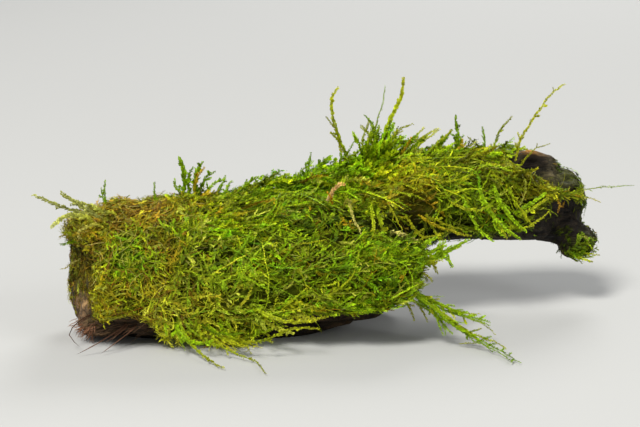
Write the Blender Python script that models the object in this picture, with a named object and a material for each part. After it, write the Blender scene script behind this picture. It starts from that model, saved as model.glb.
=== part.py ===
"""Java moss on driftwood: a forked piece of driftwood under a thick mat of moss.

The log lies on a flat cut under its belly. Its left end is broken off blunt. To the right it forks into a
short front branch and a longer back branch, which ends in a bare hump above a low foot.
The layout frame is in millimetres: x along the log, y away from its mossy front, z up from the ground.
"""
import math

import bmesh
import bpy
from mathutils import Matrix, Vector, noise
from mathutils.bvhtree import BVHTree

# Driving dimensions, in millimetres of the layout frame
MM = 0.001
MIDDLE = Vector((12.0, -9.5, 0.0))  # middle of the finished object on the ground
GAP = 0.32  # clearance between pieces that touch
WOOD_CLEARANCE = 0.5  # the same, measured along corner normals that slant across the faces
MOSS_DEPTH = 7.5  # how thick the moss lies on the wood
MOSS_LUMP = 2.8  # how far its tufts rise and sink
BARE_DEPTH = -2.5  # how far the moss surface sinks under bare wood
GRAIN_DEPTH = 1.3  # how far the long ridges of the wood rise
GRAIN_LENGTH = 45.0
GRAIN_WIDTH = 6.0
LUMP_DEPTH = 1.8  # how far its broad lumps rise
LUMP_SIZE = 22.0
LOG_HEADING = math.radians(18.0)  # the log's axis, turned away from x

# Limb sections: middle x, y, z, half width, half height, and roll in degrees, back side up
TRUNK = [
    (-101.5, -18.8, 24.5, 20.0, 19.5, 0.0),
    (-96.5, -17.2, 25.0, 22.5, 22.0, 0.0),
    (-75.0, -13.0, 24.5, 25.0, 25.5, 2.0),
    (-45.0, -8.0, 23.5, 29.0, 26.5, 6.0),
    (-15.0, -3.0, 25.0, 31.0, 26.0, 14.0),
    (10.0, 2.0, 28.0, 31.0, 23.0, 20.0),
    (30.0, 4.0, 32.0, 26.0, 17.0, 22.0),
]
FRONT_BRANCH = [
    (-12.0, -14.0, 23.0, 20.0, 16.0, 0.0),
    (6.0, -19.0, 24.5, 18.0, 14.0, 0.0),
    (22.0, -22.0, 26.0, 15.0, 11.5, 0.0),
    (31.5, -24.0, 29.0, 11.0, 8.5, 0.0),
    (36.0, -24.5, 32.5, 7.5, 5.0, 0.0),
]
BACK_BRANCH = [
    (-16.0, 10.0, 31.0, 20.0, 17.0, 10.0),
    (10.0, 17.0, 38.5, 21.0, 18.0, 8.0),
    (40.0, 24.0, 46.5, 20.0, 17.0, 0.0),
    (70.0, 31.0, 47.5, 18.5, 15.5, 0.0),
    (92.0, 36.0, 46.5, 18.0, 16.5, 0.0),
    (106.0, 39.0, 44.0, 17.0, 16.0, -4.0),
    (114.0, 40.5, 39.0, 14.0, 13.0, -8.0),
    (118.0, 41.0, 35.0, 10.0, 9.0, -8.0),
]
# Knobs: middle x, y, z and half sizes along x, y, z
HUMP = (95.0, 38.0, 56.5, 15.0, 13.0, 13.5)
SHOULDER = (109.0, 40.0, 47.5, 13.0, 12.0, 13.5)
FOOT = (118.0, 37.0, 28.5, 10.5, 10.0, 8.5)
HEEL = (16.0, 12.0, 11.0, 22.0, 14.0, 13.0)
# Hollows pressed into the front of the back branch's broken end: middle x, y, z, radius and depth
HOLLOWS = [
    (111.0, 22.0, 39.0, 14.0, 7.0),
    (97.0, 27.0, 64.5, 9.0, 5.5),
]

SECTION_POINTS = 24
SQUARENESS = 0.82  # 1 is an ellipse, less is boxier
STEPS_PER_SECTION = 4
WOOD_VOXEL = 2.0
WOOD_SMOOTHING = 5
MOSS_VOXEL = 2.6
MOSS_SMOOTHING = 2
WOOD_TRIANGLES = 2500
MOSS_TRIANGLES = 2300

# Where the moss ends. Each pair is where the change starts and where it is complete.
MOSS_UNDER_FRONT = (-62.0, -38.0)  # degrees from facing front, down to up
MOSS_DOWN_BACK = (186.0, 150.0)
RAGGED_SIZE = 9.0  # how wide the rags of its edge are
RAGGED_TURN = 16.0  # how far they reach, in degrees round the log
RAGGED_HEIGHT = 3.5  # and along or up it
END_FACE_TURN = (0.45, 0.75)  # the broken left end is bare below its top edge
END_FACE_REACH = (-80.0, -92.0)
END_FACE_TOP = (43.0, 37.0)
BARE_CORNER_REACH = (-62.0, -74.0)  # bark shows at the lower left corner
BARE_CORNER_TOP = (15.0, 10.0)
BELLY_LEFT = 7.0  # height of the moss's lower edge at the left
BELLY_RISE = 12.0  # and how much higher it is at the front branch
BELLY_REACH = (-36.0, -12.0)
BACK_FACE_REACH = (44.0, 56.0)  # the lower front of the back branch is bare
BACK_FACE_TOP = (44.0, 38.0)
HEEL_REACH = (-4.0, 6.0)  # and so is the heel
HEEL_FRONT = (-8.0, -2.0)
HEEL_TOP = (32.0, 25.0)
BARE_HUMP = Vector((104.0, 33.0, 67.0))
BARE_HUMP_EDGE = (14.0, 18.0)
BARE_END = Vector((107.0, 20.0, 35.0))  # the dark broken end of the back branch
BARE_END_EDGE = (13.5, 17.5)
MOSS_FAR_END = (122.0, 114.0)
FOOT_MOSS = Vector((118.0, 31.0, 25.0))
FOOT_MOSS_EDGE = (9.5, 7.0)
TUFT_SIZE = 9.0
TUFT_SHIFT = Vector((5.0, 0.0, 0.0))
MOSS_THINNING = 0.45  # how much thinner the moss lies on the far branch
MOSS_THINNING_REACH = (70.0, 110.0)

# Fork: one cut across the log, and one between the branches
FORK_POINT = Vector((15.0, 0.0, 0.0))
FORK_NORMAL = Vector((math.cos(LOG_HEADING), math.sin(LOG_HEADING), 0.0))
CROTCH_POINT = Vector((40.0, -3.5, 0.0))
CROTCH_NORMAL = Vector((0.0, 1.0, 0.0))

# Strands: tip first and root last, x, y, z
STRANDS = {
    "strand_left_long": [(-118, -38, 66), (-110, -34, 61), (-98, -28, 55)],
    "strand_left_upper": [(-107, -34, 66), (-99, -29, 59), (-90, -24, 51)],
    "strand_left_lower": [(-111, -40, 53), (-104, -37, 57), (-96, -33, 55)],
    "strand_left_top_1": [(-92, -12, 67), (-92, -12, 57), (-91, -12, 50)],
    "strand_left_top_2": [(-71, -8, 65), (-71, -8, 57), (-70, -8, 50)],
    "strand_crest_left_1": [(-61, 2, 74), (-59, 2, 68), (-59, 2, 58)],
    "strand_crest_left_2": [(-51, 2, 72), (-54, 2, 66), (-54, 2, 57)],
    "strand_mid_tall": [(8, 24, 101), (5, 24, 95), (7, 24, 82), (14, 24, 66)],
    "strand_mid_highest": [(37, 28, 105), (36, 28, 96), (30, 27, 83), (27, 26, 70)],
    "strand_mid_thin": [(29, 30, 101), (28, 29, 93), (25, 27, 83), (24, 25, 70)],
    "strand_mid_left": [(18, 20, 85), (21, 22, 81), (27, 24, 70)],
    "strand_mid_side_1": [(41, 22, 85), (35, 22, 82), (31, 22, 76), (30, 22, 68)],
    "strand_mid_side_2": [(53, 32, 81), (47, 31, 78), (40, 29, 72), (36, 28, 66)],
    "strand_mid_side_3": [(59, 30, 81), (55, 29, 76), (51, 28, 68)],
    "strand_right_upright": [(61, 33, 87), (62, 33, 78), (63, 32, 66)],
    "strand_right_short": [(73, 33, 82), (74, 33, 76), (74, 32, 66)],
    "strand_right_slant": [(87, 36, 86), (81, 35, 79), (77, 34, 66)],
    "strand_right_long": [(111, 42, 100), (104, 40, 95), (96, 38, 84), (91, 35, 76), (88, 32, 66)],
    "strand_right_side": [(104, 34, 74), (97, 32, 72), (91, 30, 66), (87, 28, 60)],
    "strand_far_right": [(142, 32, 55), (131, 30, 55), (119, 28, 54), (110, 28, 51)],
    "strand_end_small": [(128, 34, 47), (123, 32, 49), (114, 30, 50)],
    "strand_end_bow": [(101, 9, 48), (95, 7, 44), (88, 6, 41), (82, 9, 45), (76, 14, 50)],
    "strand_fork_upper": [(63, -14, 41), (56, -17, 37), (49, -19, 35), (40, -22, 31)],
    "strand_fork_lower": [(57, -17, 30), (54, -18, 34), (48, -20, 34), (41, -23, 32)],
    "strand_trail_right": [(82, -61, 1), (75, -48, 2), (64, -41, 6), (52, -36, 12), (38, -32, 20)],
    "strand_trail_side": [(71, -38, 10), (63, -37, 13), (53, -34, 17), (41, -30, 22)],
    "strand_trail_front": [(-22, -75, 1), (-26, -60, 1), (-36, -53, 3), (-52, -46, 9), (-58, -40, 16)],
    "strand_trail_left": [(-39, -68, 1), (-47, -57, 2), (-54, -48, 6), (-60, -41, 14)],
    "strand_trail_sweep": [(0, -53, 13), (-11, -53, 13), (-23, -52, 8), (-33, -49, 6), (-42, -42, 12)],
    "strand_trail_short": [(-2, -51, 16), (-14, -49, 15), (-25, -45, 18), (-34, -38, 22)],
}
STRAND_RADIUS = 0.9
STRAND_TIP_RADIUS = 0.35
STRAND_SIDES = 5
STRAND_RINGS = 6

# Splinters of bark at the lower left corner, written in the same way
SPLINTERS = {
    "splinter_long": [(-101, -50, 1), (-92, -46, 5), (-82, -38, 10)],
    "splinter_hooked": [(-100, -43, 2), (-105, -40, 7), (-100, -34, 12), (-92, -30, 14)],
    "splinter_short": [(-91, -49, 1), (-86, -45, 4), (-78, -38, 9)],
}
SPLINTER_RADIUS = 0.8
SPLINTER_TIP_RADIUS = 0.3
ROOT_SINK = 2.0  # how far inside its carrier a strand's route starts before it is trimmed
ROUTE_STEPS = 24
ON_PLANE = 1e-4  # how near a point counts as on a cutting plane


def clear_scene():
    for item in list(bpy.data.objects):
        bpy.data.objects.remove(item, do_unlink=True)


def make_material(name, colour, roughness):
    material = bpy.data.materials.new(name)
    material.use_nodes = True
    shader = material.node_tree.nodes["Principled BSDF"]
    shader.inputs["Base Color"].default_value = (*colour, 1.0)
    shader.inputs["Roughness"].default_value = roughness
    shader.inputs["Metallic"].default_value = 0.0
    return material


def smooth_step(low, high, value):
    share = min(max((value - low) / (high - low), 0.0), 1.0)
    return share * share * (3.0 - 2.0 * share)


def smooth_route(points, steps):
    """Points on a Catmull-Rom curve through the given points, which may have any number of values each."""
    padded = [points[0], *points, points[-1]]
    route = []
    for before, start, end, after in zip(padded, padded[1:], padded[2:], padded[3:]):
        for step in range(steps):
            t = step / steps
            route.append(
                tuple(
                    0.5 * (2 * b + (c - a) * t + (2 * a - 5 * b + 4 * c - d) * t**2
                           + (3 * b - a - 3 * c + d) * t**3)
                    for a, b, c, d in zip(before, start, end, after)
                )
            )
    return [*route, tuple(float(value) for value in points[-1])]


def skin_rings(shape, rings):
    """Adds a closed tube over rings of points, with flat caps."""
    loops = [[shape.verts.new(point) for point in ring] for ring in rings]
    count = len(loops[0])
    for near, far in zip(loops, loops[1:]):
        for i in range(count):
            j = (i + 1) % count
            shape.faces.new((near[i], near[j], far[j], far[i]))
    shape.faces.new(reversed(loops[0]))
    shape.faces.new(loops[-1])


def add_limb(shape, sections):
    """Adds a limb with boxy oval sections that stand upright across its route."""
    stations = smooth_route(sections, STEPS_PER_SECTION)
    rings = []
    for i, (x, y, z, half_width, half_height, roll) in enumerate(stations):
        near, far = stations[max(i - 1, 0)], stations[min(i + 1, len(stations) - 1)]
        heading = math.atan2(far[1] - near[1], far[0] - near[0])
        across = Vector((-math.sin(heading), math.cos(heading), 0.0))
        lean = math.radians(roll)
        ring = []
        for k in range(SECTION_POINTS):
            angle = 2.0 * math.pi * k / SECTION_POINTS
            side = math.copysign(abs(math.cos(angle)) ** SQUARENESS, math.cos(angle)) * half_width
            rise = math.copysign(abs(math.sin(angle)) ** SQUARENESS, math.sin(angle)) * half_height
            out = side * math.cos(lean) - rise * math.sin(lean)
            high = side * math.sin(lean) + rise * math.cos(lean)
            ring.append(Vector((x, y, z + high)) + across * out)
        rings.append(ring)
    skin_rings(shape, rings)


def add_knob(shape, knob):
    x, y, z, *sizes = knob
    place = Matrix.Translation((x, y, z)) @ Matrix.Diagonal((*sizes, 1.0))
    bmesh.ops.create_icosphere(shape, subdivisions=3, radius=1.0, matrix=place)


def to_mesh(shape, name):
    bmesh.ops.recalc_face_normals(shape, faces=shape.faces)
    mesh = bpy.data.meshes.new(name)
    shape.to_mesh(mesh)
    shape.free()
    return mesh


def through_modifiers(mesh, *settings):
    """The mesh after a stack of modifiers, each given as its type and its values."""
    carrier = bpy.data.objects.new("carrier", mesh)
    bpy.context.scene.collection.objects.link(carrier)
    for kind, values in settings:
        modifier = carrier.modifiers.new(kind, kind)
        for name, value in values.items():
            setattr(modifier, name, value)
    bpy.context.view_layer.update()
    result = bpy.data.meshes.new_from_object(carrier.evaluated_get(bpy.context.evaluated_depsgraph_get()))
    bpy.data.objects.remove(carrier)
    return result


def fused(mesh, voxel, rounds):
    """One closed skin round overlapping bodies, smoothed."""
    return through_modifiers(
        mesh,
        ("REMESH", {"mode": "VOXEL", "voxel_size": voxel}),
        ("SMOOTH", {"factor": 0.5, "iterations": rounds}),
    )


def thinned(mesh, triangles):
    return through_modifiers(
        mesh,
        ("TRIANGULATE", {}),
        ("DECIMATE", {"ratio": triangles / (2.0 * len(mesh.polygons))}),
    )


def pushed(mesh, amount):
    """A copy of the mesh with each vertex moved along its normal by amount(point, normal)."""
    copy = mesh.copy()
    normals = [corner.vector.copy() for corner in mesh.vertex_normals]
    for vertex, normal in zip(copy.vertices, normals):
        vertex.co = vertex.co + normal * amount(vertex.co, normal)
    copy.update()
    return copy


def grain(point):
    """Noise from -1 to 1 that runs long with the log's axis and short across it."""
    turned = Matrix.Rotation(-LOG_HEADING, 3, "Z") @ point
    return noise.noise(
        Vector((turned.x / GRAIN_LENGTH, turned.y / GRAIN_WIDTH, turned.z / GRAIN_WIDTH))
    )


def weathering(point, normal):
    """Long ridges, broad lumps and the pressed-in hollows of the driftwood."""
    ridges = GRAIN_DEPTH * grain(point)
    lumps = LUMP_DEPTH * noise.noise(point / LUMP_SIZE)
    pressed = sum(
        depth * smooth_step(radius, 0.0, (point - Vector((x, y, z))).length)
        for x, y, z, radius, depth in HOLLOWS
    )
    return ridges + lumps - pressed


def moss_cover(point, normal):
    """How fully the moss covers the wood at a point, from 0 to 1."""
    facing = math.degrees(math.atan2(normal.z, -normal.y))  # 0 faces front, 90 up, 180 back
    ragged = noise.noise(point / RAGGED_SIZE)
    facing += ragged * RAGGED_TURN
    height = point.z + ragged * RAGGED_HEIGHT
    reach = point.x + ragged * RAGGED_HEIGHT
    cover = smooth_step(*MOSS_UNDER_FRONT, facing) * smooth_step(*MOSS_DOWN_BACK, facing)
    end_face = smooth_step(*END_FACE_TURN, -normal.x) * smooth_step(*END_FACE_REACH, point.x)
    cover *= 1.0 - end_face * smooth_step(*END_FACE_TOP, height)
    corner = smooth_step(*BARE_CORNER_REACH, point.x) * smooth_step(*BARE_CORNER_TOP, height)
    cover *= 1.0 - corner
    belly = BELLY_LEFT + BELLY_RISE * smooth_step(*BELLY_REACH, point.x)
    cover *= smooth_step(belly - 3.0, belly + 1.0, height)
    under_back = smooth_step(*BACK_FACE_REACH, point.x) * smooth_step(*BACK_FACE_TOP, height)
    cover *= 1.0 - under_back
    heel = smooth_step(*HEEL_REACH, point.x) * smooth_step(*HEEL_FRONT, point.y)
    cover *= 1.0 - heel * smooth_step(*HEEL_TOP, height)
    cover *= smooth_step(*BARE_HUMP_EDGE, (point - BARE_HUMP).length + ragged * RAGGED_HEIGHT)
    cover *= smooth_step(*BARE_END_EDGE, (point - BARE_END).length + ragged * RAGGED_HEIGHT)
    cover *= smooth_step(*MOSS_FAR_END, reach)
    return max(cover, smooth_step(*FOOT_MOSS_EDGE, (point - FOOT_MOSS).length))


def moss_lift(point, normal):
    cover = moss_cover(point, normal)
    tufts = MOSS_LUMP * noise.noise(point / TUFT_SIZE + TUFT_SHIFT)
    depth = MOSS_DEPTH * (1.0 - MOSS_THINNING * smooth_step(*MOSS_THINNING_REACH, point.x))
    return cover * (depth + tufts) + (1.0 - cover) * BARE_DEPTH


def keep_side(mesh, point, normal):
    """The part of a closed mesh on the normal's side of a plane, closed again with a flat face."""
    shape = bmesh.new()
    shape.from_mesh(mesh)
    everything = [*shape.verts, *shape.edges, *shape.faces]
    cut = bmesh.ops.bisect_plane(
        shape,
        geom=everything,
        dist=ON_PLANE,
        plane_co=point,
        plane_no=normal,
        clear_inner=True,
    )
    rim = [item for item in cut["geom_cut"] if isinstance(item, bmesh.types.BMEdge)]
    bmesh.ops.edgenet_fill(shape, edges=rim)
    bmesh.ops.triangulate(shape, faces=[face for face in shape.faces if len(face.verts) > 3])
    return to_mesh(shape, mesh.name)


def split(mesh, point, normal):
    """The two sides of a mesh at a plane, with the gap between them."""
    half_gap = normal.normalized() * (GAP / 2.0)
    return keep_side(mesh, point - half_gap, -normal), keep_side(mesh, point + half_gap, normal)


def cut_away(mesh, cutter):
    """The mesh less the cutter."""
    guide = bpy.data.objects.new("guide", cutter)
    bpy.context.scene.collection.objects.link(guide)
    result = through_modifiers(
        mesh,
        ("BOOLEAN", {"operation": "DIFFERENCE", "solver": "EXACT", "object": guide}),
    )
    bpy.data.objects.remove(guide)
    return result


def islands(mesh):
    """The separate bodies of a mesh, largest first."""
    shape = bmesh.new()
    shape.from_mesh(mesh)
    left = set(shape.faces)
    bodies = []
    while left:
        front = [left.pop()]
        body = set(front)
        while front:
            for edge in front.pop().edges:
                for face in edge.link_faces:
                    if face in left:
                        left.remove(face)
                        body.add(face)
                        front.append(face)
        bodies.append(body)
    bodies.sort(key=len, reverse=True)
    meshes = []
    for body in bodies:
        order = sorted({vert for face in body for vert in face.verts}, key=lambda vert: vert.index)
        places = {vert: i for i, vert in enumerate(order)}
        faces = [[places[vert] for vert in face.verts] for face in sorted(body, key=lambda f: f.index)]
        part = bpy.data.meshes.new(mesh.name)
        part.from_pydata([vert.co.copy() for vert in order], [], faces)
        meshes.append(part)
    shape.free()
    return meshes


def middle_of(mesh):
    total = sum((vertex.co for vertex in mesh.vertices), Vector())
    return total / len(mesh.vertices)


def place_piece(name, mesh, material):
    """Puts a finished mesh, given in layout millimetres, in the scene as one named object."""
    mesh.name = name
    mesh.transform(Matrix.Scale(MM, 4) @ Matrix.Translation(-MIDDLE))
    mesh.materials.clear()
    mesh.materials.append(material)
    mesh.shade_smooth()
    piece = bpy.data.objects.new(name, mesh)
    bpy.context.scene.collection.objects.link(piece)
    return piece


def build_wood():
    """The driftwood in fine faces, before it is thinned and cut."""
    shape = bmesh.new()
    for sections in (TRUNK, FRONT_BRANCH, BACK_BRANCH):
        add_limb(shape, sections)
    for knob in (HUMP, SHOULDER, FOOT, HEEL):
        add_knob(shape, knob)
    solid = fused(to_mesh(shape, "wood"), WOOD_VOXEL, WOOD_SMOOTHING)
    return pushed(solid, weathering)


def surface_tree(meshes):
    """A search tree over the faces of several meshes."""
    points = []
    faces = []
    for mesh in meshes:
        first = len(points)
        points.extend(vertex.co.copy() for vertex in mesh.vertices)
        faces.extend([first + i for i in face.vertices] for face in mesh.polygons)
    return BVHTree.FromPolygons(points, faces)


def rooted_route(points, carrier, obstacles, radius):
    """The free part of a strand, from just clear of what carries it out to its tip."""
    root = Vector(points[-1])
    surface, normal, _, _ = carrier.find_nearest(root)
    anchor = surface - normal * ROOT_SINK
    route = [Vector(p) for p in smooth_route([*points, tuple(anchor)], ROUTE_STEPS)]
    free = []
    for point in route:
        if obstacles.find_nearest(point)[3] < radius + GAP:
            break
        free.append(point)
    return list(reversed(free))


def tapered_tube(name, route, radius, tip_radius):
    """A closed tube along a route, with its rings evenly spread and its far end drawn out thin."""
    lengths = [0.0]
    for near, far in zip(route, route[1:]):
        lengths.append(lengths[-1] + (far - near).length)
    rings = []
    for k in range(STRAND_RINGS):
        target = lengths[-1] * k / (STRAND_RINGS - 1)
        i = max(j for j in range(len(route) - 1) if lengths[j] <= target)
        share = (target - lengths[i]) / (lengths[i + 1] - lengths[i])
        middle = route[i].lerp(route[i + 1], share)
        ahead = (route[min(i + 2, len(route) - 1)] - route[max(i - 1, 0)]).normalized()
        side = ahead.cross(Vector((0.0, 1.0, 0.3))).normalized()
        other = side.cross(ahead)
        size = radius + (tip_radius - radius) * (k / (STRAND_RINGS - 1)) ** 1.5
        rings.append(
            [
                middle + (side * math.cos(turn) + other * math.sin(turn)) * size
                for turn in (2.0 * math.pi * s / STRAND_SIDES for s in range(STRAND_SIDES))
            ]
        )
    shape = bmesh.new()
    skin_rings(shape, rings)
    bmesh.ops.triangulate(shape, faces=shape.faces)
    return to_mesh(shape, name)


def build_strands(strands, carriers, others, radius, tip_radius, material):
    """Makes each strand clear of everything made before it, and returns their meshes."""
    made = []
    carrier = surface_tree(carriers)
    for name, points in strands.items():
        obstacles = surface_tree([*carriers, *others, *made])
        route = rooted_route(points, carrier, obstacles, radius)
        made.append(tapered_tube(name, route, radius, tip_radius))
    for mesh in made:
        place_piece(mesh.name, mesh.copy(), material)
    return made


def main():
    clear_scene()
    wood_brown = make_material("driftwood_brown", (0.09, 0.055, 0.028), 0.75)
    moss_green = make_material("moss_green", (0.14, 0.19, 0.01), 0.6)
    strand_green = make_material("strand_green", (0.20, 0.30, 0.02), 0.5)
    bark_red = make_material("bark_red", (0.16, 0.07, 0.035), 0.7)

    # The driftwood, cut flat under its belly and parted at the fork
    fine_wood = build_wood()
    wood = thinned(fine_wood, WOOD_TRIANGLES)
    resting = keep_side(wood, Vector((0.0, 0.0, 0.0)), Vector((0.0, 0.0, 1.0)))
    trunk, branches = split(resting, FORK_POINT, FORK_NORMAL)
    front_branch, back_branch = split(branches, CROTCH_POINT, CROTCH_NORMAL)
    trunk = islands(trunk)[0]
    front_branch = islands(front_branch)[0]
    back_branch = islands(back_branch)[0]

    # The moss, as a lumpy skin over the wood with the wood cut out of it
    envelope = pushed(fine_wood, moss_lift)
    envelope = thinned(fused(envelope, MOSS_VOXEL, MOSS_SMOOTHING), MOSS_TRIANGLES)
    swollen = pushed(wood, lambda point, normal: WOOD_CLEARANCE)
    mat = cut_away(envelope, swollen)
    mat = keep_side(mat, Vector((0.0, 0.0, 2.0 * GAP)), Vector((0.0, 0.0, 1.0)))
    mat_trunk, mat_branches = split(mat, FORK_POINT, FORK_NORMAL)
    mat_front, mat_back = split(mat_branches, CROTCH_POINT, CROTCH_NORMAL)
    moss_trunk = islands(mat_trunk)[0]
    moss_front = islands(mat_front)[0]
    back_parts = islands(mat_back)
    moss_back = back_parts[0]
    foot = Vector(FOOT[:3])
    moss_foot = min(back_parts[1:], key=lambda part: (middle_of(part) - foot).length)

    mats = [moss_trunk, moss_front, moss_back, moss_foot]
    woods = [trunk, front_branch, back_branch]
    strands = build_strands(STRANDS, mats, woods, STRAND_RADIUS, STRAND_TIP_RADIUS, strand_green)
    build_strands(
        SPLINTERS, [trunk], [*mats, *strands], SPLINTER_RADIUS, SPLINTER_TIP_RADIUS, bark_red
    )

    for name, mesh in zip(("trunk", "front_branch", "back_branch"), woods):
        place_piece(name, mesh, wood_brown)
    for name, mesh in zip(("moss_trunk", "moss_front_branch", "moss_back_branch", "moss_foot"), mats):
        place_piece(name, mesh, moss_green)


main()
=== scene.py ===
"""Looks of the java moss on driftwood: weathered wood under thousands of leafy moss shoots.

Lengths are in millimetres of the layout frame, with x along the log, y away from its mossy front and z up.
LAYOUT_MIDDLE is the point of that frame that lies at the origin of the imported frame. The camera, the lights
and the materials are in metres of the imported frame.
"""
import math
from itertools import product

import bpy
import numpy as np
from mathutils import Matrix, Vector
from mathutils.bvhtree import BVHTree


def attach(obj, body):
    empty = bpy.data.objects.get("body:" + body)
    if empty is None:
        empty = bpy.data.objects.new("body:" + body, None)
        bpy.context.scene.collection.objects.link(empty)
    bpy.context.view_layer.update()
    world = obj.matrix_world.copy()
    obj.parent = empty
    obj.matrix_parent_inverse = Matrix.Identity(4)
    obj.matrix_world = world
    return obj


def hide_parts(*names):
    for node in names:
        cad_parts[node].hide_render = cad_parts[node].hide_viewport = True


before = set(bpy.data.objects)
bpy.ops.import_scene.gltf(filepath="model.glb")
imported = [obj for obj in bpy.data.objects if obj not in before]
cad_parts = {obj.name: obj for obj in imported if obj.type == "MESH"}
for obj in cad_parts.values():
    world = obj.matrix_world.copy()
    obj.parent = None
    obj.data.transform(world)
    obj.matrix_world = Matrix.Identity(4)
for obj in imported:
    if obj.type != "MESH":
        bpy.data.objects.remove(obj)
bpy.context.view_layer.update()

MM = 0.001
LAYOUT_MIDDLE = np.array((12.0, -9.5, 0.0))
WOOD_NODES = ("trunk", "front_branch", "back_branch")
MOSS_NODES = ("moss_trunk", "moss_front_branch", "moss_back_branch", "moss_foot")
LOG_HEADING = math.radians(18.0)  # the log's axis, turned away from x
LOWEST = 0.5  # no shoot reaches lower than this above the ground

# Camera, at the photograph's viewing angle and aimed at the middle of the layout's height
CAMERA_TARGET = Vector((-0.012, 0.0095, 0.0495))
CAMERA_DISTANCE = 0.75
CAMERA_ELEVATION = math.radians(13.0)
CAMERA_LENS = 96.85
CAMERA_SENSOR = 36.0

# Colours, linear
BRIGHT = (0.32, 0.50, 0.006)
GREEN = (0.22, 0.36, 0.004)
DEEP = (0.12, 0.23, 0.003)
OLIVE = (0.27, 0.28, 0.006)
TAWNY = (0.36, 0.285, 0.008)
YELLOW = (0.45, 0.46, 0.012)
GOLD = (0.50, 0.33, 0.008)
BROWN = (0.34, 0.185, 0.022)
RUST = (0.55, 0.20, 0.016)
CREAM = (0.62, 0.55, 0.13)
PALE = (0.46, 0.50, 0.045)
FADED = (0.50, 0.52, 0.13)

# Where the moss has another colour: middle x, y, z, radius, colour and weight
MOSS_PATCHES = [
    (-82, -18, 55, 14, (0.40, 0.225, 0.024), 3.0), (-62, -18, 55, 10, GOLD, 1.0),
    (-94, -36, 44, 13, TAWNY, 2.0), (-98, -32, 26, 14, TAWNY, 2.0),
    (-105, -24, 42, 9, (0.17, 0.17, 0.010), 8.0), (-105, -24, 26, 9, (0.16, 0.13, 0.012), 8.0),
    (-103, -26, 10, 9, (0.20, 0.11, 0.035), 8.0), (-83, -38, 27, 13, (0.44, 0.42, 0.012), 2.2),
    (-88, -33, 46, 9, (0.46, 0.31, 0.012), 2.4), (-94, -36, 34, 9, (0.46, 0.31, 0.012), 2.0),
    (-80, -39, 41, 6.5, (0.42, 0.95, 0.010), 9.0), (-75, -40, 37, 5, (0.34, 0.74, 0.008), 4.0),
    (-69, -40, 35, 7, (0.42, 0.25, 0.012), 3.0), (-72, -40, 47, 7, TAWNY, 1.5),
    (-90, -32, 52, 8, TAWNY, 2.0), (-54, -40, 15, 16, (0.58, 0.60, 0.030), 3.5),
    (-38, -22, 58, 4, RUST, 3.0), (5, -12, 61, 3, RUST, 6.0), (9, -12, 64, 3, CREAM, 3.0),
    (-44, -26, 50, 7, GOLD, 1.0), (-34, -30, 52, 15, (0.34, 0.50, 0.006), 2.6),
    (-50, -34, 36, 10, GREEN, 1.3), (-21, -36, 34, 13, (0.21, 0.30, 0.005), 1.5),
    (-10, -36, 14, 16, (0.50, 0.58, 0.020), 1.5), (14, -38, 30, 18, GREEN, 1.6),
    (12, -20, 54, 7, DEEP, 1.5), (32, 1, 62, 10, (0.58, 0.56, 0.012), 3.0),
    (37, -4, 55, 8, (0.40, 0.245, 0.008), 2.6), (22, -10, 56, 8, OLIVE, 1.2), (43, -5, 45, 8, BROWN, 1.0),
    (66, 4, 54, 15, BRIGHT, 1.8), (89, 13, 55, 9, GOLD, 0.8), (70, 20, 68, 12, YELLOW, 1.8),
    (55, 14, 68, 8, OLIVE, 1.2), (84, 22, 66, 8, YELLOW, 1.5), (104, 22, 53, 8, (0.36, 0.41, 0.010), 3.0),
    (113, 29, 53, 7, (0.36, 0.43, 0.010), 3.0), (119, 27, 25, 10, GREEN, 2.0),
    (20, 22, 72, 10, BRIGHT, 2.0), (40, 26, 76, 9, DEEP, 0.8), (-12, 2, 62, 15, (0.26, 0.46, 0.005), 2.5),
    (-34, -6, 61, 10, (0.30, 0.44, 0.006), 2.0),
]

# Where it is thin, with painted shade in the gaps: middle x, y, z, radius and how much is missing
MOSS_GAPS = [
    (-90, -30, 53, 4, 0.8), (-69, -38, 47, 4, 0.8), (-81, -38, 33, 3, 0.7), (-60, -40, 26, 4, 0.7),
    (-52, -38, 38, 3, 0.8), (-38, -40, 22, 5, 0.8), (-27, -36, 44, 3, 0.7), (-6, -36, 46, 4, 0.8),
    (4, -40, 27, 4, 0.7), (20, -37, 24, 4, 0.7), (-11, -26, 52, 4, 0.9), (-6, -26, 51, 3.5, 0.8),
    (-43, -40, 42, 4, 0.7), (-29, -32, 51, 2.5, 0.6), (-55, -49, 3, 8, 1.0), (-44, -50, 3, 8, 1.0),
    (-32, -50, 4, 8, 1.0), (-20, -49, 6, 8, 1.0), (-9, -46, 9, 6, 0.9), (6, -21, 51, 5, 1.0),
    (12, -21, 49, 6, 1.0), (19, -20, 48, 6, 1.0), (27, -21, 46, 5, 1.0), (34, -13, 46, 6, 1.0),
    (33, -25, 44, 4, 0.9), (37, -11, 50, 5, 1.0), (30, -15, 49, 6, 1.0), (41, -9, 43, 8, 1.0),
    (46, -3, 37, 8, 1.0), (52, -1, 45, 3, 0.6), (64, 3, 44, 4, 0.6), (73, 7, 60, 3, 0.6),
    (79, 22, 70, 4, 0.6), (91, 11, 48, 5, 0.8), (96, 13, 40, 9, 1.0), (104, 18, 40, 10, 1.0),
    (113, 27, 41, 10, 1.0), (94, 29, 68, 7.5, 1.0), (92, 27, 69, 6, 1.0), (100, 31, 67, 8, 1.0),
    (95, 36, 72, 6, 0.9), (110, 35, 61, 6, 0.9), (125, 32, 33, 5, 1.0),
]

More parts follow.
